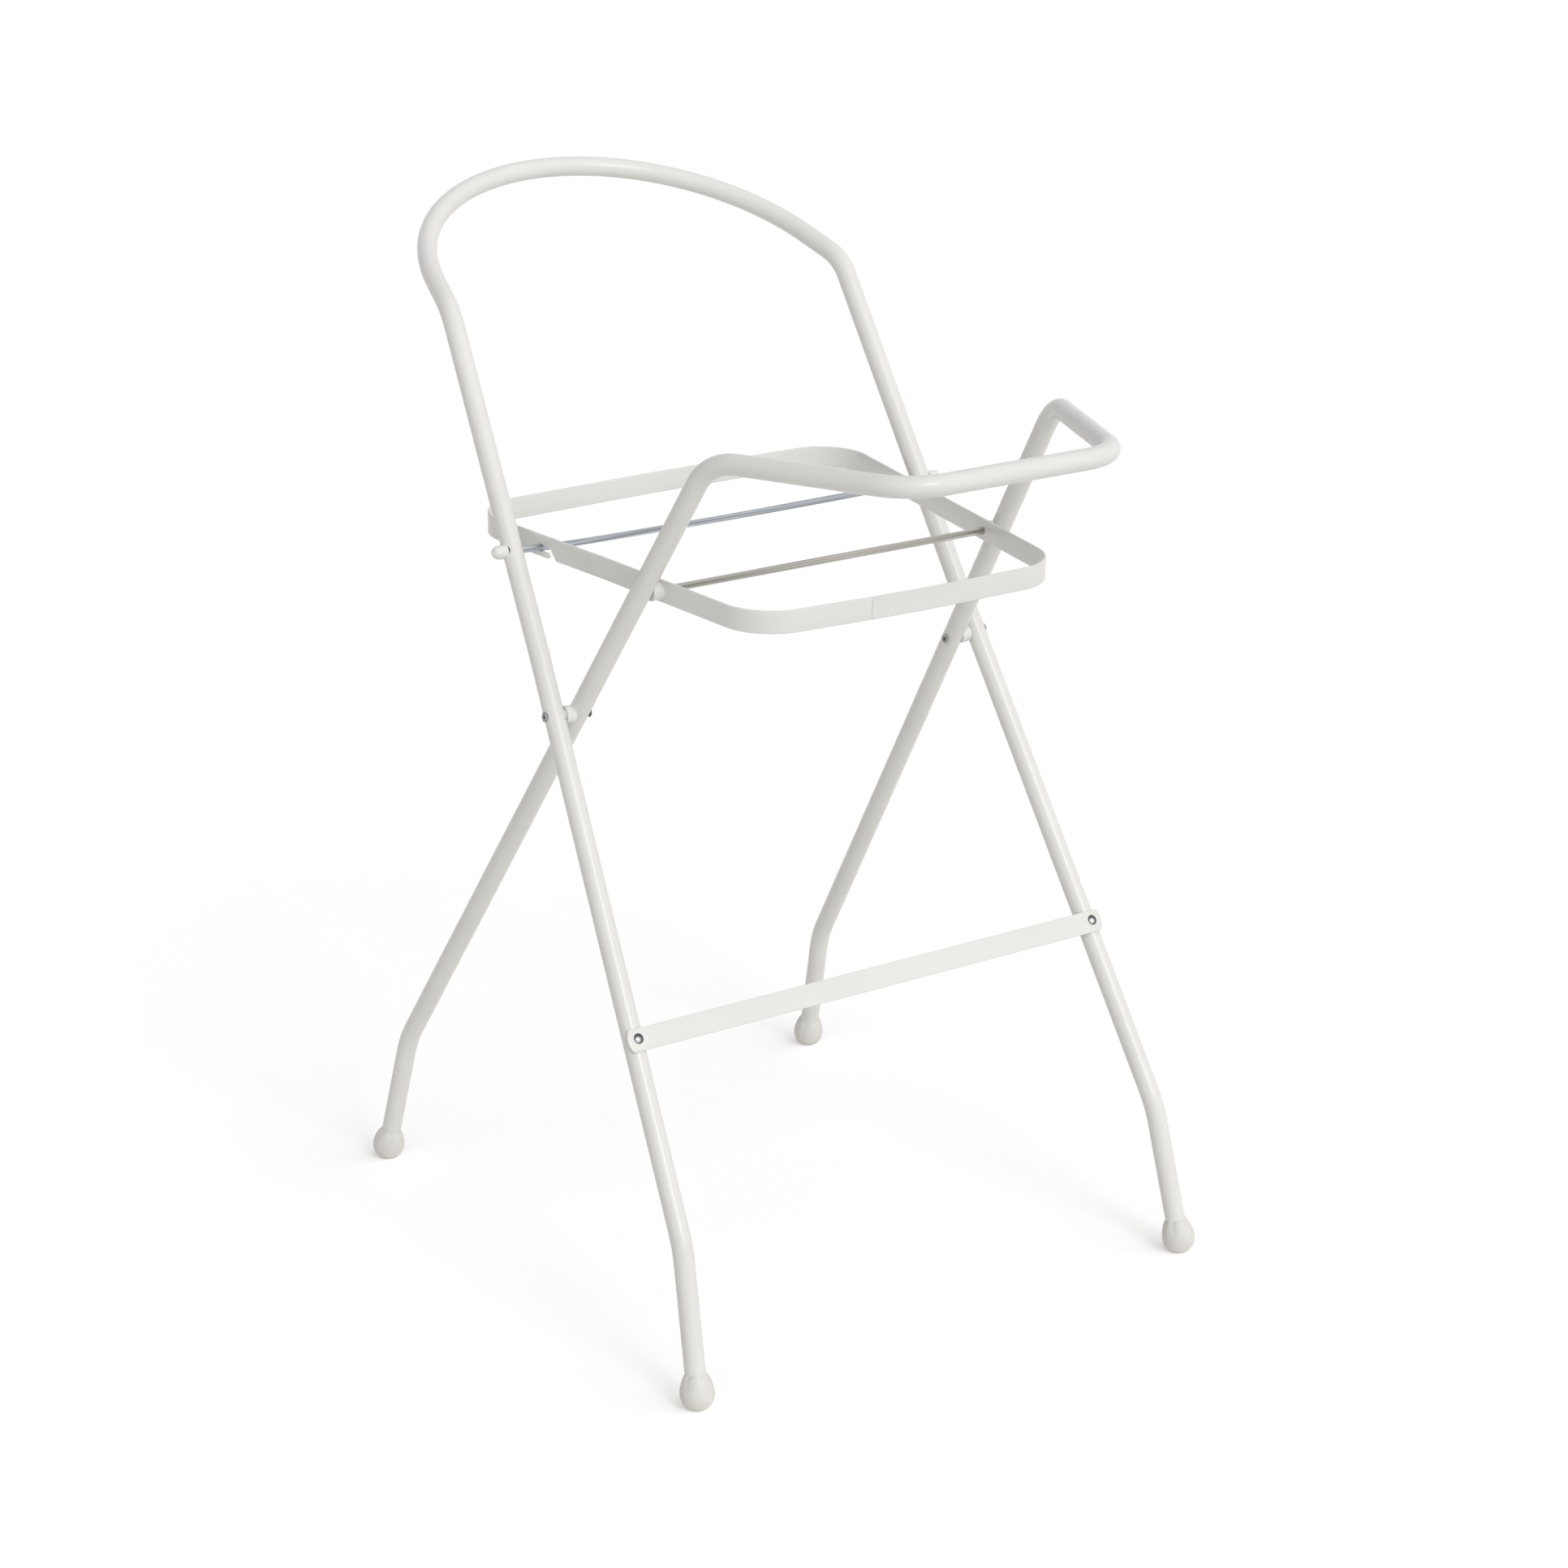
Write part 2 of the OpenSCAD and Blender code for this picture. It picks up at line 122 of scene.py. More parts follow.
CROSSBAR_Z = 314.8        # height at which the crossbar's rivets cross the leg axes
FOOT_CENTRE_Z = 14


def tall_leg(z):
    """Centre of the tall frame's right leg at a height."""
    x = TALL_HALF - (min(z, TALL_BEND_Z) - PIVOT.z) * tan(radians(TALL_SPLAY))
    x -= max(z - TALL_BEND_Z, 0) * tan(radians(TALL_UPPER_SPLAY))
    return Vector((x, PIVOT.y + (z - PIVOT.z) * tan(radians(TALL_LEAN)), z))


def low_leg(z):
    """Centre of the low frame's right leg at a height."""
    rise = z - PIVOT.z
    return Vector((LOW_HALF - rise * tan(radians(LOW_SPLAY)),
                   PIVOT.y - rise * tan(radians(LOW_LEAN)), z))


def leg_direction(splay, lean):
    """Upward direction of a right leg that slopes inwards by splay and back by lean."""
    return Vector((-tan(radians(splay)), tan(radians(lean)), 1)).normalized()


def along(start, direction, z):
    """Where a line through start meets a height."""
    return start + direction * ((z - start.z) / direction.z)


def mirrored(place):
    """The same place or direction on the stand's other side."""
    return Vector((-place.x, place.y, place.z))


TALL_DIRECTION = leg_direction(TALL_SPLAY, TALL_LEAN)
LOW_DIRECTION = leg_direction(LOW_SPLAY, -LOW_LEAN)
TALL_FOOT_DIRECTION = leg_direction(TALL_FOOT_SPLAY, TALL_FOOT_LEAN)
LOW_FOOT_DIRECTION = leg_direction(LOW_FOOT_SPLAY, -LOW_FOOT_LEAN)
TALL_KNEE, LOW_KNEE = tall_leg(KNEE_Z), low_leg(KNEE_Z)


def both_sides(half, middle_knot=()):
    """A centre line from its right half: knots are (place, bend radius)."""
    left = [(mirrored(place), radius) for place, radius in reversed(half)]
    return half + list(middle_knot) + left


def tall_path():
    """Centre line of the tall frame: foot, knee, slight bend, shoulder and the arch."""
    shoulder = tall_leg(TALL_SHOULDER_Z)
    taper, lean = radians(ARCH_TAPER), radians(ARCH_LEAN)
    meet = shoulder.x / tan(taper)          # where the arch's straight sides would meet
    peak = shoulder + meet * Vector((-tan(taper), sin(lean), cos(lean)))
    peak_r = (meet - ARCH_REACH) / (1 / sin(taper) - 1)
    half = [
        (along(TALL_KNEE, TALL_FOOT_DIRECTION, TUBE_END_Z), 0),
        (TALL_KNEE, KNEE_R),
        (tall_leg(TALL_BEND_Z), TALL_BEND_R),
        (shoulder, TALL_SHOULDER_R),
    ]
    return both_sides(half, [(peak, peak_r)])


def low_path():
    """Centre line of the low frame: foot, knee, shoulder and the loop's front corner."""
    shoulder = low_leg(LOW_SHOULDER_Z)
    step_in = LOOP_REACH * tan(radians(LOOP_TAPER))
    return both_sides([
        (along(LOW_KNEE, LOW_FOOT_DIRECTION, TUBE_END_Z), 0),
        (LOW_KNEE, KNEE_R),
        (shoulder, LOW_SHOULDER_R),
        (shoulder + Vector((-step_in, -LOOP_REACH, LOOP_RISE)), LOOP_CORNER_R),
    ])


# ---- modelling helpers ----

LEG_CUT = 60              # length of the tube that a seat is carved with


def only(obj):
    """Selects this object and nothing else."""
    bpy.ops.object.select_all(action="DESELECT")
    obj.select_set(True)
    bpy.context.view_layer.objects.active = obj


def begin(name, primitive, **settings):
    """Adds a mesh primitive as the start of a piece, with its place in its mesh."""
    bpy.ops.object.select_all(action="DESELECT")
    getattr(bpy.ops.mesh, f"primitive_{primitive}_add")(**settings)
    obj = bpy.context.object
    obj.name = obj.data.name = name
    settle(obj)
    return obj


def settle(obj):
    """Puts an object's place, turn and scale into its mesh."""
    only(obj)
    bpy.ops.object.transform_apply(location=True, rotation=True, scale=True)


def set_at(obj, place, z_axis, x_axis=None):
    """Moves a piece drawn at the origin to a place, with its Z along z_axis."""
    z_axis = z_axis.normalized()
    x_axis = x_axis or (X if abs(z_axis.x) < 0.9 else Y)
    y_axis = z_axis.cross(x_axis).normalized()
    turn = Matrix((y_axis.cross(z_axis), y_axis, z_axis)).transposed().to_4x4()
    obj.matrix_world = Matrix.Translation(place * MM) @ turn
    settle(obj)


def mark(obj, name, value_at):
    """Stores a value from 0 to 1 on each vertex, by its place, for the finish to read."""
    values = obj.data.attributes.new(name, "FLOAT", "POINT").data
    for vert, item in zip(obj.data.vertices, values):
        item.value = min(max(value_at(vert.co / MM), 0), 1)


@contextmanager
def editing(obj, kind="VERT"):
    """Edit mode on one object, with vertices, edges or faces as what is selected."""
    only(obj)
    bpy.ops.object.mode_set(mode="EDIT")
    bpy.ops.mesh.select_mode(type=kind)
    yield
    bpy.ops.object.mode_set(mode="OBJECT")


def choose(obj, kind, test):
    """Selects just those verts, edges or faces of the edited mesh that pass a test."""
    bpy.ops.mesh.select_all(action="DESELECT")
    mesh = bmesh.from_edit_mesh(obj.data)
    for item in getattr(mesh, kind):
        if test(item):
            item.select_set(True)
    mesh.select_flush_mode()
    bmesh.update_edit_mesh(obj.data)


def take_all():
    """Selects everything in the edited mesh."""
    bpy.ops.mesh.select_all(action="SELECT")


def face_outwards():
    """Turns every face of the edited mesh outwards."""
    take_all()
    bpy.ops.mesh.normals_make_consistent(inside=False)


def run(offset):
    """Extrudes what is selected by an offset in millimetres."""
    bpy.ops.mesh.extrude_region_move(
        TRANSFORM_OT_translate={"value": offset * MM})


def bend(centre, axis, angle, steps):
    """Carries what is selected round an axis, right-handed, by an angle in radians."""
    bpy.ops.mesh.spin(steps=steps, angle=angle, center=centre * MM, axis=-axis)


def close_up():
    """Merges doubles, fills open ends and turns every face outwards."""
    take_all()
    bpy.ops.mesh.remove_doubles(threshold=MERGE * MM)
    take_all()
    bpy.ops.mesh.fill_holes(sides=0)
    face_outwards()


def smooth(obj, angle=38):
    """Shades a piece smooth, with edges sharper than the angle kept crisp."""
    only(obj)
    bpy.ops.object.shade_smooth_by_angle(angle=radians(angle))


def modify(obj, kind, **settings):
    """Adds a modifier with its settings and applies it."""
    only(obj)
    modifier = obj.modifiers.new(kind.title(), kind)
    for name, value in settings.items():
        setattr(modifier, name, value)
    bpy.ops.object.modifier_apply(modifier=modifier.name)


def ease(obj, width, angle=50, segments=2):
    """Softens edges that are sharper than the angle."""
    modify(obj, "BEVEL", width=width * MM, segments=segments, limit_method="ANGLE",
           angle_limit=radians(angle), harden_normals=False)


def carve(obj, cutter):
    """Cuts one solid out of another and deletes the cutter."""
    modify(obj, "BOOLEAN", operation="DIFFERENCE", solver="EXACT", object=cutter)
    bpy.data.objects.remove(cutter)


def leg_cutter(tube, centre, direction):
    """Solid of a leg's tube, which carves a seat in a piece that fits round it."""
    cutter = begin("leg_cutter", "cylinder", vertices=96, radius=tube / 2 + GAP * MM,
                   depth=LEG_CUT * MM)
    set_at(cutter, centre, direction)
    return cutter


def sweep(obj, path, closed=False, bend_step=5):
    """Carries the outline that obj holds along a centre line of (place, bend radius).

    Straight runs are extruded and bends are spun, so a closed path starts and ends at
    the end of its first knot's bend.
    """
    count = len(path)
    runs = count if closed else count - 1
    places = [path[i % count][0] for i in range(runs + 1)]
    directions = [(b - a).normalized() for a, b in zip(places, places[1:])]

    def bend_at(i):
        """Angle, radius and straight length used up by the bend at knot i."""
        if not closed and i in (0, count - 1):
            return 0, 0, 0
        angle = directions[i % runs].angle(directions[i - 1])
        radius = path[i % count][1]
        return angle, radius, radius * tan(angle / 2)

    with editing(obj, "EDGE"):
        take_all()
        for i in range(runs):
            ahead = directions[i]
            length = (places[i + 1] - places[i]).length
            run(ahead * (length - bend_at(i)[2] - bend_at(i + 1)[2]))
            angle, radius, used = bend_at(i + 1)
            if angle:
                turned = directions[(i + 1) % runs]
                axis = ahead.cross(turned).normalized()
                start = places[i + 1] - ahead * used
                steps = max(2, round(degrees(angle) / bend_step))
                bend(start + axis.cross(ahead) * radius, axis, angle, steps)
        close_up()


def path_start(path, closed=False):
    """Place and direction at which a sweep along a path begins."""
    ahead = (path[1][0] - path[0][0]).normalized()
    if not closed:
        return path[0][0], ahead
    back = (path[0][0] - path[-1][0]).normalized()
    return path[0][0] + ahead * path[0][1] * tan(ahead.angle(back) / 2), ahead


def draw(name, start, strokes):
    """Draws an outline in the XZ plane from a vertex: each stroke is a point to go to,
    or (centre, degrees, steps) for an arc that turns towards +X from +Z."""
    obj = begin(name, "plane", size=MM)

    def flat(point):
        return Vector((point[0], 0, point[1]))

    with editing(obj):
        bpy.ops.mesh.merge(type="CENTER")
        bpy.ops.transform.translate(value=flat(start) * MM)
        pen = flat(start)
        for stroke in strokes:
            if len(stroke) == 2:
                bpy.ops.mesh.extrude_vertices_move(
                    TRANSFORM_OT_translate={"value": (flat(stroke) - pen) * MM})
                pen = flat(stroke)
            else:
                centre, angle, steps = flat(stroke[0]), radians(stroke[1]), stroke[2]
                bend(centre, Y, angle, steps)
                pen = centre + Matrix.Rotation(angle, 3, "Y") @ (pen - centre)
    return obj


def turn_on_lathe(name, start, strokes, sides=40):
    """A solid turned about Z from an outline of (radius, height)."""
    obj = draw(name, start, strokes)
    with editing(obj, "EDGE"):
        take_all()
        bend(Vector(), Z, 2 * pi, sides)
        close_up()
    return obj


def cut_from_sheet(name, start, strokes, thickness):
    """A flat plate whose outline is drawn in XZ, extruded along +Y."""
    obj = draw(name, start, strokes)
    with editing(obj, "EDGE"):
        take_all()
        bpy.ops.mesh.remove_doubles(threshold=MERGE * MM)
        take_all()
        bpy.ops.mesh.edge_face_add()
        run(Y * thickness)
        close_up()
    return obj


def copy_of(obj, name):
    """Another object with its own copy of the mesh."""
    only(obj)
    bpy.ops.object.duplicate(linked=False)
    twin = bpy.context.object
    twin.name = twin.data.name = name
    return twin


def mirror_copy(obj, name):
    """The left twin of a right piece, mirrored across x = 0."""
    twin = copy_of(obj, name)
    twin.scale = (-1, 1, 1)
    settle(twin)
    with editing(twin, "FACE"):
        face_outwards()
    return twin


def sides_of(name):
    """Names of a pair of pieces or nodes, right side first."""
    return name + "_right", name + "_left"


def fit(obj, body, nodes, material):
    """Gives a piece its finish, its body and the CAD nodes it stands for."""
    obj.data.materials.clear()
    obj.data.materials.append(material)
    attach(obj, body)
    if nodes:
        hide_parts(*nodes)


# ---- finishes ----

def linear(hex_colour):
    """Linear RGB of an sRGB hex colour."""
    channels = [int(hex_colour[i:i + 2], 16) / 255 for i in (1, 3, 5)]
    return [c / 12.92 if c <= 0.04045 else ((c + 0.055) / 1.055) ** 2.4
            for c in channels]


def add(tree, kind, inputs, **settings):
    """Adds a node; each input is a value, or another node's output to link."""
    node = tree.nodes.new(kind)
    for name, value in settings.items():
        setattr(node, name, value)
    for socket, value in inputs.items():
        if isinstance(value, bpy.types.NodeSocket):
            tree.links.new(value, node.inputs[socket])
        else:
            node.inputs[socket].default_value = value
    return node


PAINTED_SHADE = 0.1                # lightness of the painted shade on the rivets beside their full colour
WASHER_SHADE = 0.5        # lightness of the washers' plating beside the rivets'
CLOUD_LOW, CLOUD_HIGH = 0.35, 0.65        # noise between these spreads over both shades


def surface(name, colour, shade, cloud, grain, depth, rough, stretch=(1, 1, 1),
            bright_where=None, **constants):
    """A finish of two close shades in soft clouds, with a grain in its relief.

    shade darkens the clouds' other half, cloud and grain are their sizes and depth the
    grain's height in millimetres, rough is the least and most roughness, and stretch
    squeezes the pattern along an axis. bright_where names an attribute of painted light
    and shade: where it is 0 the finish is darkened by a painted shade, where it is 1 it
    keeps its colour. The rest are constants of the shader.
    """
    if name in bpy.data.materials:
        return bpy.data.materials[name]
    material = bpy.data.materials.new(name)
    material.use_nodes = True
    tree = material.node_tree
    tree.nodes.clear()
    place = add(tree, "ShaderNodeTexCoord", {}).outputs["Object"]
    place = add(tree, "ShaderNodeMapping",
                {"Vector": place, "Scale": stretch}).outputs["Vector"]
    clouds, grains = [
        add(tree, "ShaderNodeTexNoise",
            {"Vector": place, "Scale": 1 / (size * MM), "Detail": 3.0}).outputs["Fac"]
        for size in (cloud, grain)]
    clouds = add(tree, "ShaderNodeMapRange",
                 {"Value": clouds, "From Min": CLOUD_LOW,
                  "From Max": CLOUD_HIGH}).outputs[0]
    tint = add(tree, "ShaderNodeMix",
               {0: clouds, 6: [*colour, 1], 7: [*(c * shade for c in colour), 1]},
               data_type="RGBA").outputs[2]
    if bright_where:
        where = add(tree, "ShaderNodeAttribute", {}, attribute_name=bright_where)
        tint = add(tree, "ShaderNodeMix",
                   {0: where.outputs["Fac"], 6: [*(c * PAINTED_SHADE for c in colour), 1],
                    7: tint},
                   data_type="RGBA").outputs[2]
    sheen = add(tree, "ShaderNodeMapRange",
                {"Value": grains, "To Min": rough[0], "To Max": rough[1]}).outputs[0]
    relief = add(tree, "ShaderNodeBump",
                 {"Height": grains, "Distance": depth * MM}).outputs[0]
    shader = add(tree, "ShaderNodeBsdfPrincipled",
                 {"Base Color": tint, "Roughness": sheen, "Normal": relief, **constants})
    add(tree, "ShaderNodeOutputMaterial", {"Surface": shader.outputs[0]})
    return material


def powder_coat(colours):
    """Gloss white polyester powder coat, sprayed and baked on steel. It flows out nearly
    smooth: a crisp reflection with the faint waver of orange peel."""
    return surface("gloss_white_powder_coat", colours.coat, 0.97, cloud=90, grain=2.5,
                   depth=0.003, rough=(0.2, 0.26), IOR=1.5)


def bright_rod(colours):
    """Zinc-plated drawn rod: drawing leaves fine streaks along it that break up its
    reflections."""
    return surface("zinc_plated_drawn_rod", colours.hinge_rod, 0.42, cloud=2.2, grain=1.1,
                   depth=0.03, rough=(0.14, 0.34), stretch=(0.01, 1, 1), Metallic=1.0)


def blue_rod(colours):
    """Blue-passivated zinc on drawn rod: cooler and a little duller than plain zinc."""
    return surface("blue_passivated_drawn_rod", colours.latch_rod, 0.45, cloud=2.2,
                   grain=1.1, depth=0.03, rough=(0.2, 0.4), stretch=(0.01, 1, 1),
                   Metallic=1.0)


def rivet_steel(colours):
    """Bright-plated rivet steel, with light and shade painted into its colour: a painted
    highlight, and painted shade in the hollows and towards the rims."""
    return surface("bright_plated_rivet_steel", colours.rivet, 0.85, cloud=3, grain=0.6,
                   depth=0.004, rough=(0.14, 0.26), bright_where="polish", Metallic=1.0)


def washer_steel(colours):
    """Barrel-plated washer steel: stamped, so darker and less glossy than the rivets."""
    return surface("barrel_plated_washer_steel", colours.rivet.copy() * WASHER_SHADE,
                   0.75, cloud=2, grain=0.5, depth=0.006, rough=(0.25, 0.4),
                   Metallic=1.0)


def clip_steel(colours):
    """Phosphated spring steel: dark, oily grey. Its dark ring behind each cap also stands
    for the shadow where the cap meets the leg.
    """
    return surface("phosphated_spring_steel", colours.clip, 0.7, cloud=2, grain=0.5,
                   depth=0.008, rough=(0.4, 0.55), Metallic=1.0)


def moulded_nylon(colours):
    """Natural white nylon, injection moulded: satin, and slightly clouded below the
    surface."""
    return surface("moulded_white_nylon", colours.nylon, 0.96, cloud=7, grain=0.7,
                   depth=0.006, rough=(0.34, 0.46), IOR=1.53,
                   **{"Subsurface Weight": 0.08,
                      "Subsurface Radius": (0.003, 0.003, 0.003)})


def moulded_polythene(colours):
    """Off-white low-density polythene, injection moulded: soft, waxy sheen."""
    return surface("moulded_white_polythene", colours.foot, 0.95, cloud=12, grain=0.8,
                   depth=0.01, rough=(0.36, 0.5), IOR=1.51,
                   **{"Subsurface Weight": 0.1,
                      "Subsurface Radius": (0.004, 0.004, 0.003)})


def label_film(colours):
    """Coated white polyester film: nearly the coat's white, but less glossy."""
    return surface("coated_polyester_film", colours.label, 0.98, cloud=15, grain=0.5,
                   depth=0.002, rough=(0.38, 0.45), IOR=1.5)


def colour_setting(name, hex_colour, description):
    """A colour property with its default as sRGB hex."""
    return bpy.props.FloatVectorProperty(
        name=name, description=description, default=linear(hex_colour), subtype="COLOR",
        min=0, max=1)


def length_setting(name, millimetres, description):
    """A length property with its default in millimetres."""
    return bpy.props.FloatProperty(
        name=name, description=description, default=millimetres * MM, min=0,
        subtype="DISTANCE", unit="LENGTH", precision=4)


class BathStandSizes(bpy.types.PropertyGroup):
    """Sizes of the stock that the stand is made from."""
    tube: length_setting("Tube", 20, "Outer diameter of the frames' tube")
    band_height: length_setting("Band height", 22, "Height of the band's strip")
    band_thickness: length_setting("Band thickness", 2.5, "Thickness of the band's strip")
    crossbar_height: length_setting("Crossbar height", 22,
                                    "Width of the crossbar's strip")
    crossbar_thickness: length_setting("Crossbar thickness", 2, "Thickness of its strip")
    hinge_rod: length_setting("Hinge rod", 7,
                              "Diameter of the rod that the band turns on")
    latch_rod: length_setting("Latch rod", 6.4, "Diameter of the rod that the hooks hold")
    spacer: length_setting("Spacers", 17, "Diameter of the white spacers")
    cap: length_setting("Caps", 13.5, "Diameter of the caps on the latch rod")
    foot: length_setting("Feet", 32.8, "Diameter of the feet's round part")


class BathStandColours(bpy.types.PropertyGroup):
    """Colours of the stand's finishes."""
    coat: colour_setting("Coat", "#E6E5E2", "Powder coat on tubes and strips")
    hinge_rod: colour_setting("Hinge rod", "#CBC6BF", "Plain zinc on the hinge rod")
    latch_rod: colour_setting("Latch rod", "#C6CBD1", "Blue zinc on the latch rod")
    rivet: colour_setting("Rivets", "#F2F3F5", "Plating on rivets and washers")
    # the clips' dark colour also stands for painted shadow where the caps meet the legs
    clip: colour_setting("Clips", "#4A4A4C", "Phosphated clips behind the caps")
    nylon: colour_setting("Nylon", "#E9E9E6", "Spacers and caps")
    foot: colour_setting("Feet", "#E2E0DB", "Moulded feet")
    label: colour_setting("Label", "#E4E4E1", "Bare label on the band")
    floor: colour_setting("Floor", "#FFFFFF", "Floor under the stand")


class BathStandStage(bpy.types.PropertyGroup):
    """Light on the stand."""
    key: bpy.props.FloatProperty(
        name="Key light", default=0.55, min=0,
        description="Strength of the front softbox")
    front: bpy.props.FloatProperty(
        name="Front surround", default=1.14, min=0,
        description="Strength of the soft light from the front, where it is strongest")
    rear: bpy.props.FloatProperty(
        name="Rear surround", default=0.14, min=0,
        description="Strength of the soft light from behind, where it is weakest")
    floor_glow: bpy.props.FloatProperty(
        name="Floor glow", default=0.265, min=0, max=1,
        description="How much the floor is lifted to reach plain white")


# ---- pieces ----

def round_bar(name, path, diameter, sides, bend_step=5):
    """A round tube or rod, closed at its ends, along a centre line."""
    place, ahead = path_start(path)
    obj = begin(name, "circle", vertices=sides, radius=diameter / 2, fill_type="NOTHING")
    set_at(obj, place, ahead)
    sweep(obj, path, bend_step=bend_step)
    return obj


class MESH_OT_bath_stand_frames(bpy.types.Operator):
    """Model the tall and the low frame of bent tube"""
    bl_idname = "mesh.bath_stand_frames"
    bl_label = "Tube Frames"

    def execute(self, context):
        sizes, colours = context.scene.stand_sizes, context.scene.stand_colours
        for name, node, path, body in (("tall_tube", "tall_frame", tall_path(), TALL),
                                       ("low_tube", "low_frame", low_path(), LOW)):
            tube = round_bar(name, path, sizes.tube, sides=48, bend_step=2.5)
            smooth(tube)
            fit(tube, body, [node], powder_coat(colours))
        return {"FINISHED"}


CROSSBAR_REACH = 280.5
CROSSBAR_END_R = 18
CROSSBAR_DROP = 1.2       # the strip's middle is this far below its rivets
CROSSBAR_EDGE_R = 0.45    # rounding of its edges
CROSSBAR_OUT = X.cross(TALL_DIRECTION).normalized()
CROSSBAR_UP = CROSSBAR_OUT.cross(X)
DOME_R = 5.1
DOME_H = 2
HIGHLIGHT_OFFSET = (-1.6, 0, -1.2)  # centre of the painted highlight on a dome, off its middle
HIGHLIGHT_FADE_R = 3.6            # the painted highlight fades to painted shade over this distance from there
HIGHLIGHT_PEAK = 1.35        # over 1, so that its middle is evenly bright
SHANK_R = 2.5
TAIL_R = 4
TAIL_T = 1.2
TAIL_SIDE = 0.7           # share of the rear head's thickness below its chamfer
TAIL_CHAMFER = 0.4


class MESH_OT_bath_stand_crossbar(bpy.types.Operator):
    """Model the flat strip across the tall frame and the domed rivets that hold it"""
    bl_idname = "mesh.bath_stand_crossbar"
    bl_label = "Crossbar and Rivets"

    def execute(self, context):
        sizes, colours = context.scene.stand_sizes, context.scene.stand_colours
        tube_r = sizes.tube / MM / 2
        half_height = sizes.crossbar_height / MM / 2
        thickness = sizes.crossbar_thickness / MM
        leg = tall_leg(CROSSBAR_Z)

        end_centre = CROSSBAR_REACH - CROSSBAR_END_R
        corner = end_centre + sqrt(CROSSBAR_END_R ** 2 - half_height ** 2)
        swing = 2 * degrees(asin(half_height / CROSSBAR_END_R))
        strip = cut_from_sheet(
            "crossbar_strip", (-corner, half_height),
            [(corner, half_height), ((end_centre, 0), swing, 12),
             (-corner, -half_height), ((-end_centre, 0), swing, 12)], -thickness)
        ease(strip, CROSSBAR_EDGE_R, segments=3)
        base = Vector((0, leg.y, leg.z)) + CROSSBAR_OUT * (tube_r + GAP)
        set_at(strip, base - CROSSBAR_UP * CROSSBAR_DROP, CROSSBAR_UP)
        smooth(strip)
        fit(strip, TALL, ["crossbar"], powder_coat(colours))

        front = tube_r + thickness + 2 * GAP
        curve_r = (DOME_R ** 2 + DOME_H ** 2) / (2 * DOME_H)
        rivet = turn_on_lathe(
            "dome_rivet_right", (0, front + DOME_H),
            [((0, front + DOME_H - curve_r), degrees(asin(DOME_R / curve_r)), 14),
             (SHANK_R, front), (SHANK_R, -tube_r), (TAIL_R, -tube_r),
             (TAIL_R, -tube_r - TAIL_SIDE * TAIL_T),
             (TAIL_R - TAIL_CHAMFER, -tube_r - TAIL_T),
             (0, -tube_r - TAIL_T)], sides=48)
        set_at(rivet, leg, CROSSBAR_OUT)
        twin = mirror_copy(rivet, "dome_rivet_left")
        # Painted highlight on each dome, off its middle, fading to painted shade towards
        # its rim; the rear heads keep their full colour.
        for obj, centre in ((rivet, leg), (twin, mirrored(leg))):
            highlight_centre = centre + CROSSBAR_OUT * (front + DOME_H) + Vector(HIGHLIGHT_OFFSET)
            mark(obj, "polish", lambda place: (
                1 if (place - centre).dot(CROSSBAR_OUT) < 0
                else max(HIGHLIGHT_PEAK - (place - highlight_centre).length / HIGHLIGHT_FADE_R, 0) ** 2))
        for obj, node in zip((rivet, twin), sides_of("crossbar_rivet")):
            smooth(obj)
            fit(obj, TALL, [node], rivet_steel(colours))
        return {"FINISHED"}


# The latch rod sags between its holes and its ends lift: heights from its middle line
LATCH_END_LIFT = 2.5
LATCH_BENDS = ((180, -1.3, 1500), (0, -2.75, 6000))     # x, height, bend radius

CAP_BASE = 7.7            # the caps' rims wrap the legs to this far from their middle
CAP_SHORT = 1.6           # the caps end this much before their solids do
CAP_RIM_R = 0.6           # rounding of the caps' rims
CAP_STEP = 0.2            # the domes are this much narrower than the skirts
CAP_STEP_R = 0.15         # rounding where the skirts end
CAP_STEP_DROP = 0.25      # that rounding starts this far below the domes
CLIP_T = 1.4
CLIP_IN = 0.05            # the clips are this much narrower than the skirts


def latch_line():
    """Centre line of the latch rod from left to right."""
    half = [(LATCH + Vector((reach("latch_rod"), 0, LATCH_END_LIFT)), 0)]
    half += [(LATCH + Vector((x, 0, lift)), radius) for x, lift, radius in LATCH_BENDS]
    return both_sides(half[:2], half[2:])[::-1]


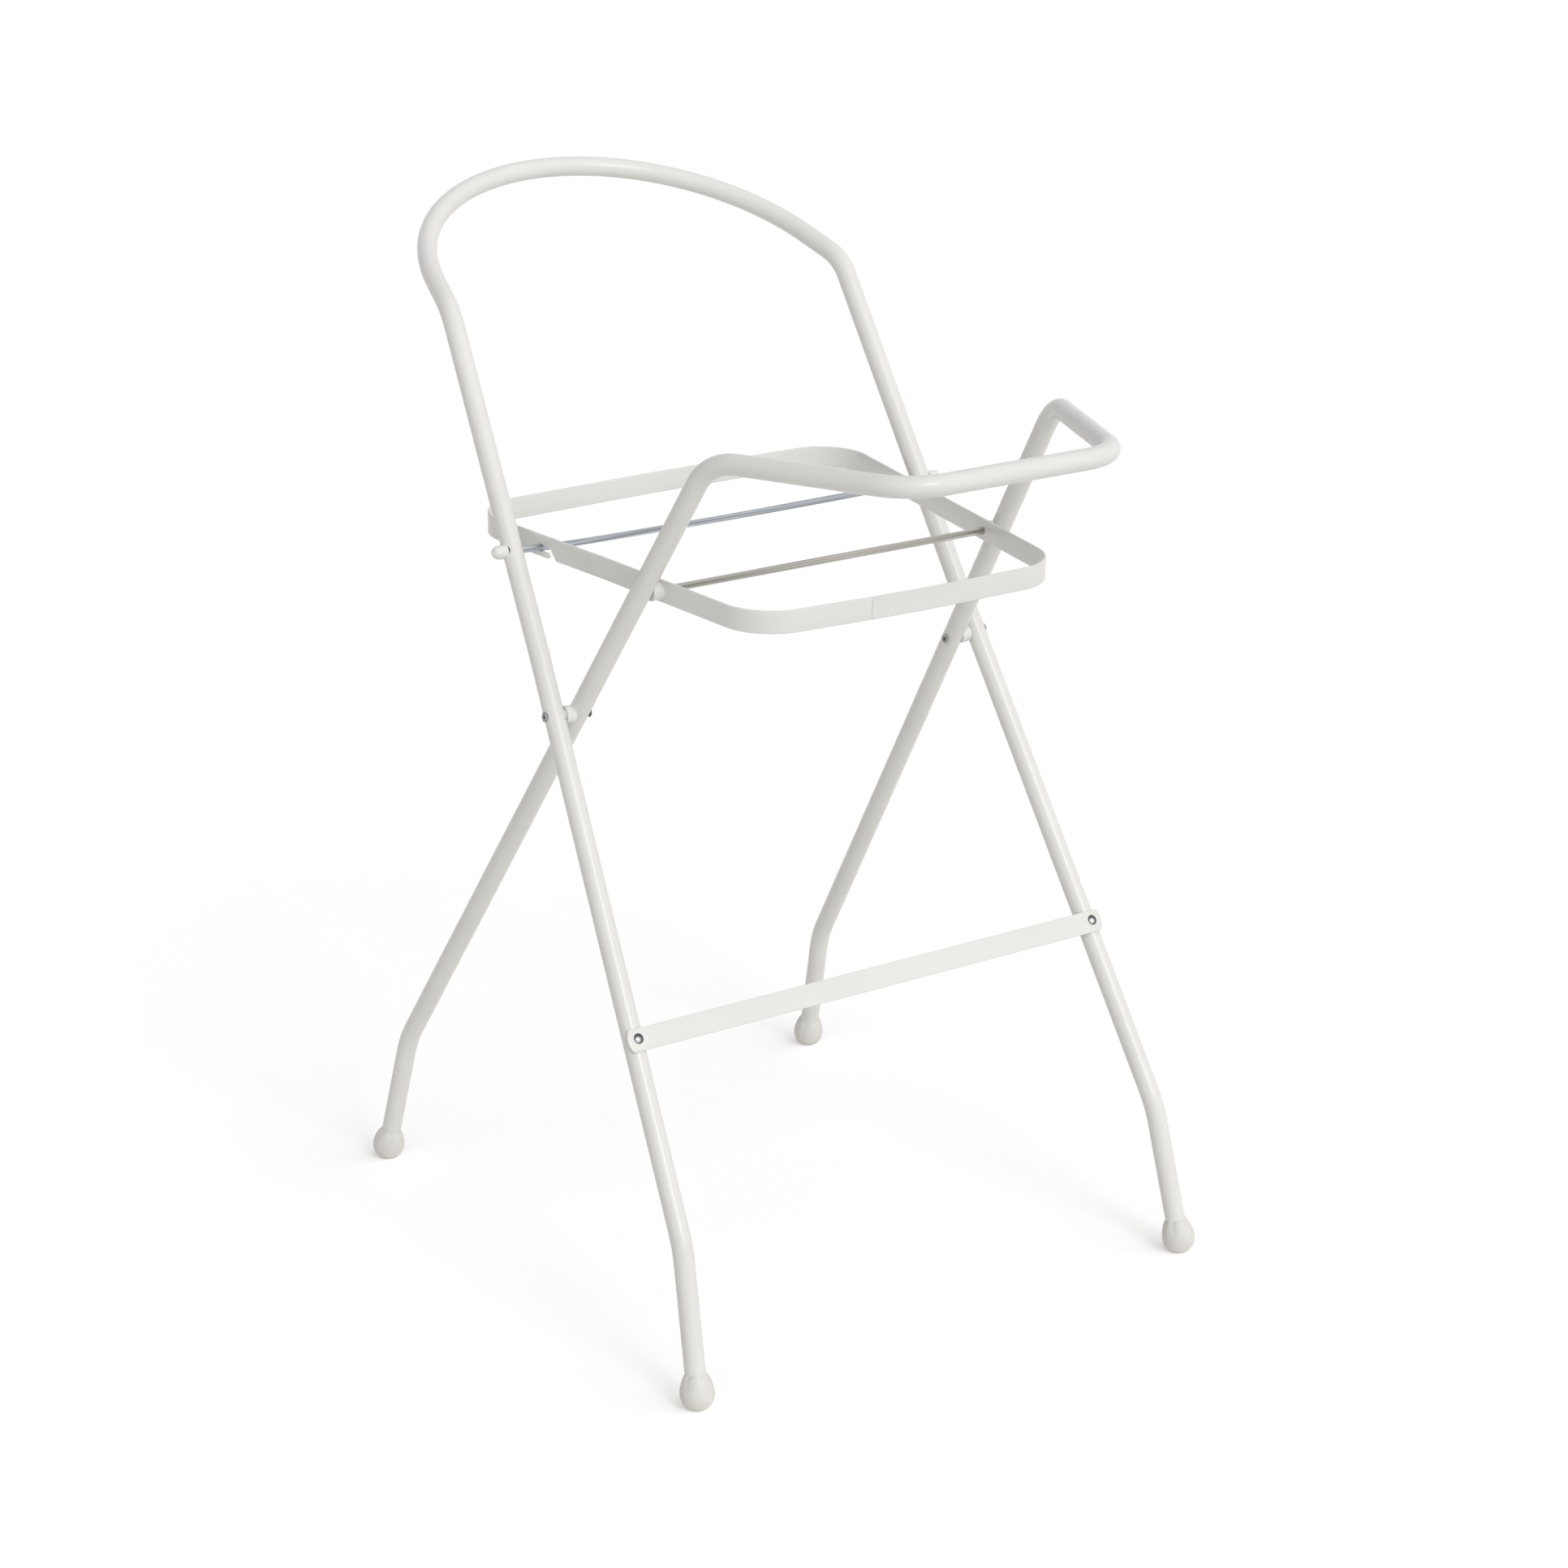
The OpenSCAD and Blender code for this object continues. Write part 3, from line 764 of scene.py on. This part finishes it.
class MESH_OT_bath_stand_latch(bpy.types.Operator):
    """Model the rod that the band hooks over, with its caps and clips"""
    bl_idname = "mesh.bath_stand_latch"
    bl_label = "Latch Rod and Caps"

    def execute(self, context):
        sizes, colours = context.scene.stand_sizes, context.scene.stand_colours
        path = latch_line()
        rod = round_bar("latch_bar", path, sizes.latch_rod, sides=24, bend_step=1)
        smooth(rod)
        fit(rod, TALL, ["latch_rod"], blue_rod(colours))

        end, ahead = path[-1][0], (path[-1][0] - path[-2][0]).normalized()

        def on_rod(x):
            """Where the rod's right end reaches a distance from the middle."""
            return end + ahead * ((x - end.x) / ahead.x)

        rod_r = sizes.latch_rod / MM / 2
        skirt_r = sizes.cap / MM / 2
        dome_r = skirt_r - CAP_STEP
        leg = tall_leg(LATCH.z)
        base = leg.x + CAP_BASE
        skirt = reach("latch_cap_right") - CAP_SHORT - base - dome_r
        cap = turn_on_lathe(
            "rod_cap_right", (0, 0),
            [(skirt_r - CAP_RIM_R, 0), ((skirt_r - CAP_RIM_R, CAP_RIM_R), -90, 4),
             (skirt_r, skirt - CAP_STEP_DROP),
             ((skirt_r - CAP_STEP_R, skirt - CAP_STEP_DROP), -90, 2), (dome_r, skirt),
             ((0, skirt), -90, 12)])
        set_at(cap, on_rod(base), ahead)

        clip_r = skirt_r - CLIP_IN
        clip = turn_on_lathe(
            "rod_clip_right", (rod_r, 0),
            [(clip_r, 0), (clip_r, CLIP_T), (rod_r, CLIP_T), (rod_r, 0)], sides=64)
        set_at(clip, on_rod(base - CLIP_T), ahead)
        for piece in (cap, clip):
            carve(piece, leg_cutter(sizes.tube, leg, TALL_DIRECTION))

        for piece, kind, slot, finish in (
                (cap, "cap", "cap_plastic", moulded_nylon),
                (clip, "clip", "clip_steel", clip_steel)):
            twin = mirror_copy(piece, f"rod_{kind}_left")
            for obj, node in zip((piece, twin), sides_of(f"latch_{kind}")):
                smooth(obj)
                fit(obj, TALL, [node], finish(colours))
        return {"FINISHED"}


RIVET_TILT = 4            # the rivets stand square to the sloping legs, outer end up
RIVET_DROP = 0.8          # they cross the tall legs this far below the joint's line
HEAD_PROUD = 1            # height of their outer heads over the tube
PIVOT_HEAD_R = 5
GROOVE_R = 4.1            # a groove, painted dark as shade, runs between this radius and this one, round the rolled edge of the hollow
ROLL_R = 3.5              # and this one, round the rolled edge of the hollow
BORE_R = 2.1
PIN_R = 3                 # radius of the rivets' shanks
PIN_HEAD_T = 2.5
PIN_LOW_EDGE = 0.7        # the rolled inner ends stand this far out of the washers
# lightness of the painted light on the rolled edges and on the outer heads' rims
ROLL_PAINTED_LIGHT, RIM_PAINTED_LIGHT = 0.5, 0.32
WASHER_T = 0.6
WASHER_R = 5.2
WASHER_EDGE = 0.2         # chamfer of the washers and of the spacers' saddle end
WASHER_SHIFT = 0.4        # the washers sit this much further out than their solids
SPACER_SHIFT = 0.3        # and so do the spacers' outer faces
SPIGOT_R, SPIGOT_L = 4.9, 2.5             # of the spacers' step that meets the tall legs
SADDLE_START = 7.2        # the spacers reach this near the low tubes' centre line


class MESH_OT_bath_stand_pivots(bpy.types.Operator):
    """Model the hollow rivets, washers and spacers that join the two frames"""
    bl_idname = "mesh.bath_stand_pivots"
    bl_label = "Pivot Rivets"

    def execute(self, context):
        sizes, colours = context.scene.stand_sizes, context.scene.stand_colours
        tilt_angle = radians(RIVET_TILT)
        out = Vector((cos(tilt_angle), 0, sin(tilt_angle)))
        leg_centre = Vector((TALL_HALF, PIVOT.y, PIVOT.z - RIVET_DROP))

        def on_rivet(x):
            """Where the right rivet's axis reaches a distance from the middle."""
            return leg_centre + out * ((x - TALL_HALF) / out.x)

        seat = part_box("pivot_washer_right")[1].x / MM + WASHER_SHIFT
        low = seat - WASHER_T - PIN_LOW_EDGE
        length = (TALL_HALF + sizes.tube / MM / 2 + HEAD_PROUD - low) / out.x
        rivet = turn_on_lathe(
            "pivot_pin_right", (0, 0.8),
            [(BORE_R, 0.8), (BORE_R + 0.1, 0.4), ((BORE_R + 0.7, 0.6), 150, 7),
             (ROLL_R, 0.8), (ROLL_R, 1), (GROOVE_R, 1), (GROOVE_R, 1.3), (PIN_R, 1.3),
             (PIN_R, length - PIN_HEAD_T), (PIVOT_HEAD_R - 0.2, length - PIN_HEAD_T),
             (PIVOT_HEAD_R, length - 0.6), ((PIVOT_HEAD_R - 0.4, length - 0.6), -90, 4),
             (GROOVE_R, length - 0.2), (GROOVE_R - 0.1, length - 0.8),
             (ROLL_R + 0.1, length - 0.8), (ROLL_R, length - 0.5),
             ((BORE_R + 0.7, length - 0.6), -150, 7), (BORE_R, length - 0.8),
             (0, length - 0.8)], sides=40)
        # Painted light and shade: lighter rings on the rolled edges and the outer rim,
        # painted shade in the groove, the hollow and the rest.
        mark(rivet, "polish", lambda place: (
            ROLL_PAINTED_LIGHT if BORE_R + 0.15 < place.xy.length < ROLL_R + 0.05
            else RIM_PAINTED_LIGHT if place.xy.length > GROOVE_R - 0.05 and place.z > 3 else 0))
        set_at(rivet, on_rivet(low), out)

        hole_r = GROOVE_R + GAP
        washer = turn_on_lathe(
            "pivot_disc_right", (hole_r, 0),
            [(WASHER_R - WASHER_EDGE, 0), (WASHER_R, WASHER_EDGE),
             (WASHER_R, WASHER_T - WASHER_EDGE), (WASHER_R - WASHER_EDGE, WASHER_T),
             (hole_r, WASHER_T), (hole_r, 0)])
        set_at(washer, on_rivet(seat - WASHER_T), out)

        spacer_r = sizes.spacer / MM / 2
        face = reach("pivot_spacer_right") + SPACER_SHIFT
        tube_centre = low_leg(PIVOT.z)
        depth = face - tube_centre.x
        spacer = turn_on_lathe(
            "frame_spacer_right", (0, SADDLE_START),
            [(spacer_r - WASHER_EDGE, SADDLE_START),
             (spacer_r, SADDLE_START + WASHER_EDGE),
             (spacer_r, depth - 0.3), (spacer_r - 0.3, depth), (SPIGOT_R, depth),
             (SPIGOT_R, depth + SPIGOT_L), (0, depth + SPIGOT_L)])
        set_at(spacer, on_rivet(tube_centre.x), out)
        carve(spacer, leg_cutter(sizes.tube, tube_centre, LOW_DIRECTION))

        for piece, stem, nodes, body, slot, finish in (
                (rivet, "pivot_pin", "pivot_rivet", TALL, "rivet_steel", rivet_steel),
                (washer, "pivot_disc", "pivot_washer", TALL, "washer_steel",
                 washer_steel),
                (spacer, "frame_spacer", "pivot_spacer", LOW, "spacer_plastic",
                 moulded_nylon)):
            twin = mirror_copy(piece, stem + "_left")
            for obj, node in zip((piece, twin), sides_of(nodes)):
                smooth(obj)
                fit(obj, body, [node], finish(colours))
        return {"FINISHED"}


def band_path():
    """Centre line of the band's strip, level, right corner first."""
    return [(Vector((x, y, BAND_Z)), radius) for x, y, radius in BAND_KNOTS]


def tilt(obj):
    """Tilts what is drawn level about the hinge rod, rear upwards."""
    obj.matrix_world = (Matrix.Translation(HINGE * MM)
                        @ Matrix.Rotation(radians(BAND_TILT), 4, "X")
                        @ Matrix.Translation(-HINGE * MM))
    settle(obj)


HOOK_START = (37.8, 711)  # outline of the hooks' channel: y and z
HOOK_STROKES = [(48.7, 724.9), (50.9, 727), (63.7, 727), ((63.7, 723.5), 180, 16),
                (54.4, 720), ((54.4, 717.2), -180, 12), (54.4, 711), HOOK_START]
HOOK_CUT = 100            # length of each cut, towards -X
HOOK_CUT_STARTS = (250, -150)


def hook_cutter(x):
    """Solid of the hooks' channel, from x towards -X."""
    cutter = cut_from_sheet("hook_cutter", HOOK_START, HOOK_STROKES, HOOK_CUT)
    cutter.rotation_euler.z = pi / 2
    cutter.location.x = x * MM
    settle(cutter)
    return cutter


BAND_EDGE_R = 0.9         # rounding of the rolled strip's edges
CUT_EDGE_R = 0.3          # and of the edges that the hooks' cuts leave


class MESH_OT_bath_stand_band(bpy.types.Operator):
    """Model the ring of flat strip that carries the bath, with its two hooks"""
    bl_idname = "mesh.bath_stand_band"
    bl_label = "Support Band"

    def execute(self, context):
        sizes, colours = context.scene.stand_sizes, context.scene.stand_colours
        path = band_path()
        band = begin("band_strip", "plane", size=1)
        band.scale = (sizes.band_thickness, sizes.band_height, 1)
        settle(band)
        with editing(band):
            take_all()
            bpy.ops.mesh.bevel(affect="VERTICES", offset=BAND_EDGE_R * MM, segments=4,
                               offset_type="OFFSET")
            take_all()
            bpy.ops.mesh.delete(type="ONLY_FACE")
        place, ahead = path_start(path, closed=True)
        set_at(band, place, ahead, ahead.cross(Z))
        sweep(band, path, closed=True, bend_step=4)
        tilt(band)
        for x in HOOK_CUT_STARTS:
            carve(band, hook_cutter(x))
        ease(band, CUT_EDGE_R, angle=60)
        smooth(band)
        fit(band, BAND, ["support_band"], powder_coat(colours))
        return {"FINISHED"}


LABEL_LEFT, LABEL_RIGHT = -50, 48
LABEL_HEIGHT = 20
LABEL_T = 0.12
LABEL_CORNER_R = 1.5


class MESH_OT_bath_stand_label(bpy.types.Operator):
    """Model the bare label on the front of the band"""
    bl_idname = "mesh.bath_stand_label"
    bl_label = "Band Label"

    def execute(self, context):
        sizes, colours = context.scene.stand_sizes, context.scene.stand_colours
        path = band_path()
        knot, bow_r = path[-1]
        into = (knot - path[-2][0]).normalized()
        out_of = (path[0][0] - knot).normalized()
        centre = knot + (out_of - into).normalized() * bow_r / cos(into.angle(out_of) / 2)
        face_r = bow_r + sizes.band_thickness / MM / 2
        first, last = (asin((x - centre.x) / face_r) for x in (LABEL_LEFT, LABEL_RIGHT))

        label = draw("label_film", (face_r, -LABEL_HEIGHT / 2),
                     [(face_r, LABEL_HEIGHT / 2)])
        with editing(label, "EDGE"):
            take_all()
            bend(Vector(), Z, last - first, 14)
            face_outwards()
        with editing(label):
            choose(label, "verts", lambda v: len(v.link_edges) == 2)
            bpy.ops.mesh.bevel(affect="VERTICES", offset=LABEL_CORNER_R * MM, segments=4)
        set_at(label, centre, Z, Vector((sin(first), -cos(first), 0)))
        modify(label, "SOLIDIFY", thickness=LABEL_T * MM, offset=1)
        with editing(label, "FACE"):
            face_outwards()
        tilt(label)
        smooth(label)
        fit(label, BAND, [], label_film(colours))
        return {"FINISHED"}


ROD_CHAMFER = 0.5
SPACER_EDGE_R = 0.7


class MESH_OT_bath_stand_hinge(bpy.types.Operator):
    """Model the rod that the band turns on, and the spacers beside the band"""
    bl_idname = "mesh.bath_stand_hinge"
    bl_label = "Hinge Rod and Spacers"

    def execute(self, context):
        sizes, colours = context.scene.stand_sizes, context.scene.stand_colours
        rod_r = sizes.hinge_rod / MM / 2
        end = reach("hinge_rod")
        rod = turn_on_lathe(
            "hinge_bar", (0, -end),
            [(rod_r - ROD_CHAMFER, -end), (rod_r, ROD_CHAMFER - end),
             (rod_r, end - ROD_CHAMFER), (rod_r - ROD_CHAMFER, end), (0, end)], sides=32)
        set_at(rod, Vector((0, HINGE.y, HINGE.z)), X)
        smooth(rod)
        fit(rod, LOW, ["hinge_rod"], bright_rod(colours))

        spacer_r = sizes.spacer / MM / 2
        path = band_path()
        for side, corner, further in (("right", path[0][0], path[1][0]),
                                      ("left", path[5][0], path[4][0])):
            out = X if side == "right" else -X
            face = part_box("hinge_spacer_" + side)
            face_x = max(abs(face[0].x), abs(face[1].x)) / MM
            start = abs(corner.x)
            edge = face_x - start - SPACER_EDGE_R
            spacer = turn_on_lathe(
                "band_spacer_" + side, (rod_r, 0),
                [(spacer_r, 0), (spacer_r, edge),
                 ((spacer_r - SPACER_EDGE_R, edge), -90, 4),
                 (rod_r, face_x - start), (rod_r, 0)])
            set_at(spacer, HINGE + out * start, out)
            slant = (further - corner).normalized()
            normal = slant.cross(Z) if side == "right" else Z.cross(slant)
            touch = corner + normal * (sizes.band_thickness / MM / 2 + GAP)
            with editing(spacer):
                take_all()
                bpy.ops.mesh.bisect(plane_co=touch * MM, plane_no=normal, use_fill=True,
                                    clear_inner=True)
            smooth(spacer)
            fit(spacer, BAND, ["hinge_spacer_" + side],
                moulded_nylon(colours))
        return {"FINISHED"}


PETALS = 6
PETAL_COLUMNS = 12        # columns of faces in each petal
FOOT_TOP = 19.8           # height of the petals' tips over the middle of the bulb
FOOT_ROWS = 14            # rows of faces from the middle of the bulb to the tips
SIDE_POWER = 0.75         # under 1, so that the bulb stays full before it rounds in
LIP_EDGE = 0.3            # height of the slope at the petals' tips
VALLEY_DROP = 1.7         # how far the top edge dips between petals
GROOVE_DEPTH = 0.75       # depth of the creases that run down from those dips
GROOVE_END = 4            # height at which they fade out
LIP = 0.35                # thickness of the petals' edge against the tube
FLOOR_EDGE_R = 0.8        # rounding where the feet are flat on the floor
FOOT_CREASE = 50          # edges of the feet sharper than this stay crisp


class MESH_OT_bath_stand_feet(bpy.types.Operator):
    """Model the four bulb feet with their petal tops"""
    bl_idname = "mesh.bath_stand_feet"
    bl_label = "Feet"

    def execute(self, context):
        sizes, colours = context.scene.stand_sizes, context.scene.stand_colours
        bulb_r = sizes.foot / MM / 2
        tip_r = sizes.tube / MM / 2 + LIP
        heights = [FOOT_TOP * i / FOOT_ROWS for i in range(1, FOOT_ROWS)]

        def side_r(height):
            """Radius of the bulb's upper half, which rounds in to the petals' tips."""
            return tip_r + (bulb_r - tip_r) * (
                cos(pi / 2 * height / FOOT_TOP) ** SIDE_POWER)

        pattern = turn_on_lathe(
            "foot_pattern", (0, -bulb_r),
            [((0, 0), -90, 18), *((side_r(h), h) for h in heights),
             (tip_r, FOOT_TOP - LIP_EDGE), (tip_r - LIP / 2, FOOT_TOP),
             (tip_r - LIP, FOOT_TOP), (tip_r - LIP, FOOT_TOP / 2), (0, FOOT_TOP / 2)],
            sides=PETALS * PETAL_COLUMNS)
        with editing(pattern):
            self.shape_petals(pattern, side_r, tip_r)
        smooth(pattern, FOOT_CREASE)

        for name, knee, direction, side, body, azimuth in (
                ("foot_front_right", TALL_KNEE, TALL_FOOT_DIRECTION, 1, TALL, 36),
                ("foot_front_left", TALL_KNEE, TALL_FOOT_DIRECTION, -1, TALL, 22),
                ("foot_rear_right", LOW_KNEE, LOW_FOOT_DIRECTION, 1, LOW, 32),
                ("foot_rear_left", LOW_KNEE, LOW_FOOT_DIRECTION, -1, LOW, 58)):
            foot = copy_of(pattern, name.replace("foot", "bulb"))
            centre = along(knee, direction, FOOT_CENTRE_Z)
            if side < 0:
                centre, direction = mirrored(centre), mirrored(direction)
            foot.rotation_euler.z = radians(azimuth)
            settle(foot)
            set_at(foot, centre, direction)
            with editing(foot):
                take_all()
                bpy.ops.mesh.bisect(plane_co=(0, 0, 0), plane_no=(0, 0, 1),
                                    use_fill=True, clear_inner=True)
                choose(foot, "edges", lambda e: all(v.co.z < 0.01 * MM for v in e.verts))
                bpy.ops.mesh.bevel(offset=FLOOR_EDGE_R * MM, segments=3)
            smooth(foot, FOOT_CREASE)
            fit(foot, body, [name], moulded_polythene(colours))
        bpy.data.objects.remove(pattern)
        return {"FINISHED"}

    @staticmethod
    def shape_petals(pattern, side_r, tip_r):
        """Lowers and creases the bulb between petals, column by column."""
        step = 2 * pi / (PETALS * PETAL_COLUMNS)
        mesh = bmesh.from_edit_mesh(pattern.data)
        rows = {}
        for vert in mesh.verts:
            if vert.co.z > 1 * MM and vert.co.xy.length > (tip_r - LIP - 0.1) * MM:
                column = round(atan2(vert.co.y, vert.co.x) / step) % PETAL_COLUMNS
                column = min(column, PETAL_COLUMNS - column)
                rows.setdefault((round(vert.co.z / MM, 2), column), []).append(vert)
        for (height, column), verts in rows.items():
            valley = 1 - sin(pi * column / PETAL_COLUMNS)
            bpy.ops.mesh.select_all(action="DESELECT")
            for vert in verts:
                vert.select_set(True)
            bmesh.update_edit_mesh(pattern.data)
            crease = max(height - GROOVE_END, 0) / (FOOT_TOP - GROOVE_END)
            narrow = 1 - GROOVE_DEPTH / side_r(min(height, FOOT_TOP)) * (
                valley ** 1.5 * min(1, 2.5 * crease) * (1 - 0.6 * crease))
            bpy.ops.transform.resize(value=(narrow, narrow, 1), center_override=(0, 0, 0))
            bpy.ops.transform.translate(
                value=(0, 0, -VALLEY_DROP * MM * valley * (height / FOOT_TOP) ** 2))


# ---- stage ----

CAMERA_PLACE = (-1.8924, -2.8530, 1.6800)
CAMERA_PITCH, CAMERA_ROLL, CAMERA_YAW = 70.389, 0.106, -33.96
CAMERA_LENS = 83.39
SENSOR = 36
KEY_PITCH, KEY_YAW, KEY_SPREAD = 56, 1, 22
BRIGHT_SIDE = Vector((0.1, -0.92, 0.3))   # where the soft light comes from
DARK_END, BRIGHT_END = -0.5, 0.9          # cosines between which the light changes
FLOOR_BOUNCE = (0.82, 0.8, 0.77, 1)       # what the floor throws back at the stand
FLOOR_R = 40              # in metres


def seen_directly(tree):
    """1 for rays from the camera, a reflection or glass, and 0 for light that spreads."""
    light = add(tree, "ShaderNodeLightPath", {}).outputs
    seen = light["Is Camera Ray"]
    for kind in ("Is Glossy Ray", "Is Transmission Ray"):
        seen = add(tree, "ShaderNodeMath", {0: seen, 1: light[kind]},
                   operation="MAXIMUM").outputs[0]
    return seen


class SCENE_OT_bath_stand_stage(bpy.types.Operator):
    """Set up the floor, the light and the camera"""
    bl_idname = "scene.bath_stand_stage"
    bl_label = "Stage"

    def execute(self, context):
        stage, colours = context.scene.stand_stage, context.scene.stand_colours
        context.scene.view_settings.view_transform = "Standard"

        floor = begin("studio_floor", "circle", vertices=96, radius=FLOOR_R,
                      fill_type="NGON")
        white = bpy.data.materials.new("matt_white_floor")
        white.use_nodes = True
        tree = white.node_tree
        tree.nodes.clear()
        seen = seen_directly(tree)
        paint = add(tree, "ShaderNodeMix",
                    {0: seen, 6: FLOOR_BOUNCE, 7: [*colours.floor, 1]},
                    data_type="RGBA").outputs[2]
        matt = add(tree, "ShaderNodeBsdfDiffuse", {"Color": paint})
        lift = add(tree, "ShaderNodeMath", {0: seen, 1: stage.floor_glow},
                   operation="MULTIPLY").outputs[0]
        glow = add(tree, "ShaderNodeEmission", {"Color": [*colours.floor, 1],
                                                "Strength": lift})
        both = add(tree, "ShaderNodeAddShader", {0: matt.outputs[0], 1: glow.outputs[0]})
        add(tree, "ShaderNodeOutputMaterial", {"Surface": both.outputs[0]})
        floor.data.materials.append(white)

        world = bpy.data.worlds.new("white_surround")
        context.scene.world = world
        world.use_nodes = True
        tree = world.node_tree
        tree.nodes.clear()
        seen = seen_directly(tree)
        toward = add(tree, "ShaderNodeTexCoord", {}).outputs["Generated"]
        facing = add(tree, "ShaderNodeVectorMath",
                     {0: toward, 1: BRIGHT_SIDE.normalized()},
                     operation="DOT_PRODUCT").outputs["Value"]
        level = add(tree, "ShaderNodeMapRange",
                    {"Value": facing, "From Min": DARK_END, "From Max": BRIGHT_END,
                     "To Min": stage.rear, "To Max": stage.front},
                    interpolation_type="SMOOTHSTEP").outputs[0]
        level = add(tree, "ShaderNodeMix", {0: seen, 2: level, 3: 1.0}).outputs[0]
        sky = add(tree, "ShaderNodeBackground",
                  {"Color": (1, 1, 1, 1), "Strength": level})
        add(tree, "ShaderNodeOutputWorld", {"Surface": sky.outputs[0]})

        key = bpy.data.lights.new("key_softbox", "SUN")
        key.energy = stage.key
        key.angle = radians(KEY_SPREAD)
        lamp = bpy.data.objects.new("key_softbox", key)
        lamp.rotation_euler = (radians(KEY_PITCH), 0, radians(KEY_YAW))
        context.collection.objects.link(lamp)

        view = bpy.data.cameras.new("photo_camera")
        view.lens = CAMERA_LENS
        view.sensor_width = SENSOR
        view.sensor_fit = "HORIZONTAL"
        camera = bpy.data.objects.new("photo_camera", view)
        camera.location = CAMERA_PLACE
        turn = Euler((radians(CAMERA_PITCH), 0, radians(CAMERA_YAW))).to_matrix()
        camera.rotation_euler = (turn @ Matrix.Rotation(radians(CAMERA_ROLL), 3, "Z")
                                 ).to_euler()
        context.collection.objects.link(camera)
        context.scene.camera = camera
        return {"FINISHED"}


class VIEW3D_PT_bath_stand(bpy.types.Panel):
    """The stand's pieces in the order in which they are made"""
    bl_label = "Baby Bath Stand"
    bl_space_type = "VIEW_3D"
    bl_region_type = "UI"
    bl_category = "Bath Stand"

    def draw(self, context):
        for group in (context.scene.stand_sizes, context.scene.stand_colours,
                      context.scene.stand_stage):
            box = self.layout.box()
            for name in group.__annotations__:
                box.prop(group, name)
        for operator in STEPS:
            self.layout.operator(operator.bl_idname)


GROUPS = (("stand_sizes", BathStandSizes), ("stand_colours", BathStandColours),
          ("stand_stage", BathStandStage))
STEPS = (
    MESH_OT_bath_stand_frames, MESH_OT_bath_stand_crossbar, MESH_OT_bath_stand_latch,
    MESH_OT_bath_stand_pivots, MESH_OT_bath_stand_band, MESH_OT_bath_stand_label,
    MESH_OT_bath_stand_hinge, MESH_OT_bath_stand_feet, SCENE_OT_bath_stand_stage,
)


def register():
    for name, group in GROUPS:
        bpy.utils.register_class(group)
        setattr(bpy.types.Scene, name, bpy.props.PointerProperty(type=group))
    for cls in (*STEPS, VIEW3D_PT_bath_stand):
        bpy.utils.register_class(cls)


def unregister():
    for cls in (VIEW3D_PT_bath_stand, *reversed(STEPS)):
        bpy.utils.unregister_class(cls)
    for name, group in reversed(GROUPS):
        delattr(bpy.types.Scene, name)
        bpy.utils.unregister_class(group)


def main():
    """Makes the whole stand."""
    register()
    for step in STEPS:
        kind, name = step.bl_idname.split(".")
        getattr(getattr(bpy.ops, kind), name)()


if __name__ == "__main__":
    main()
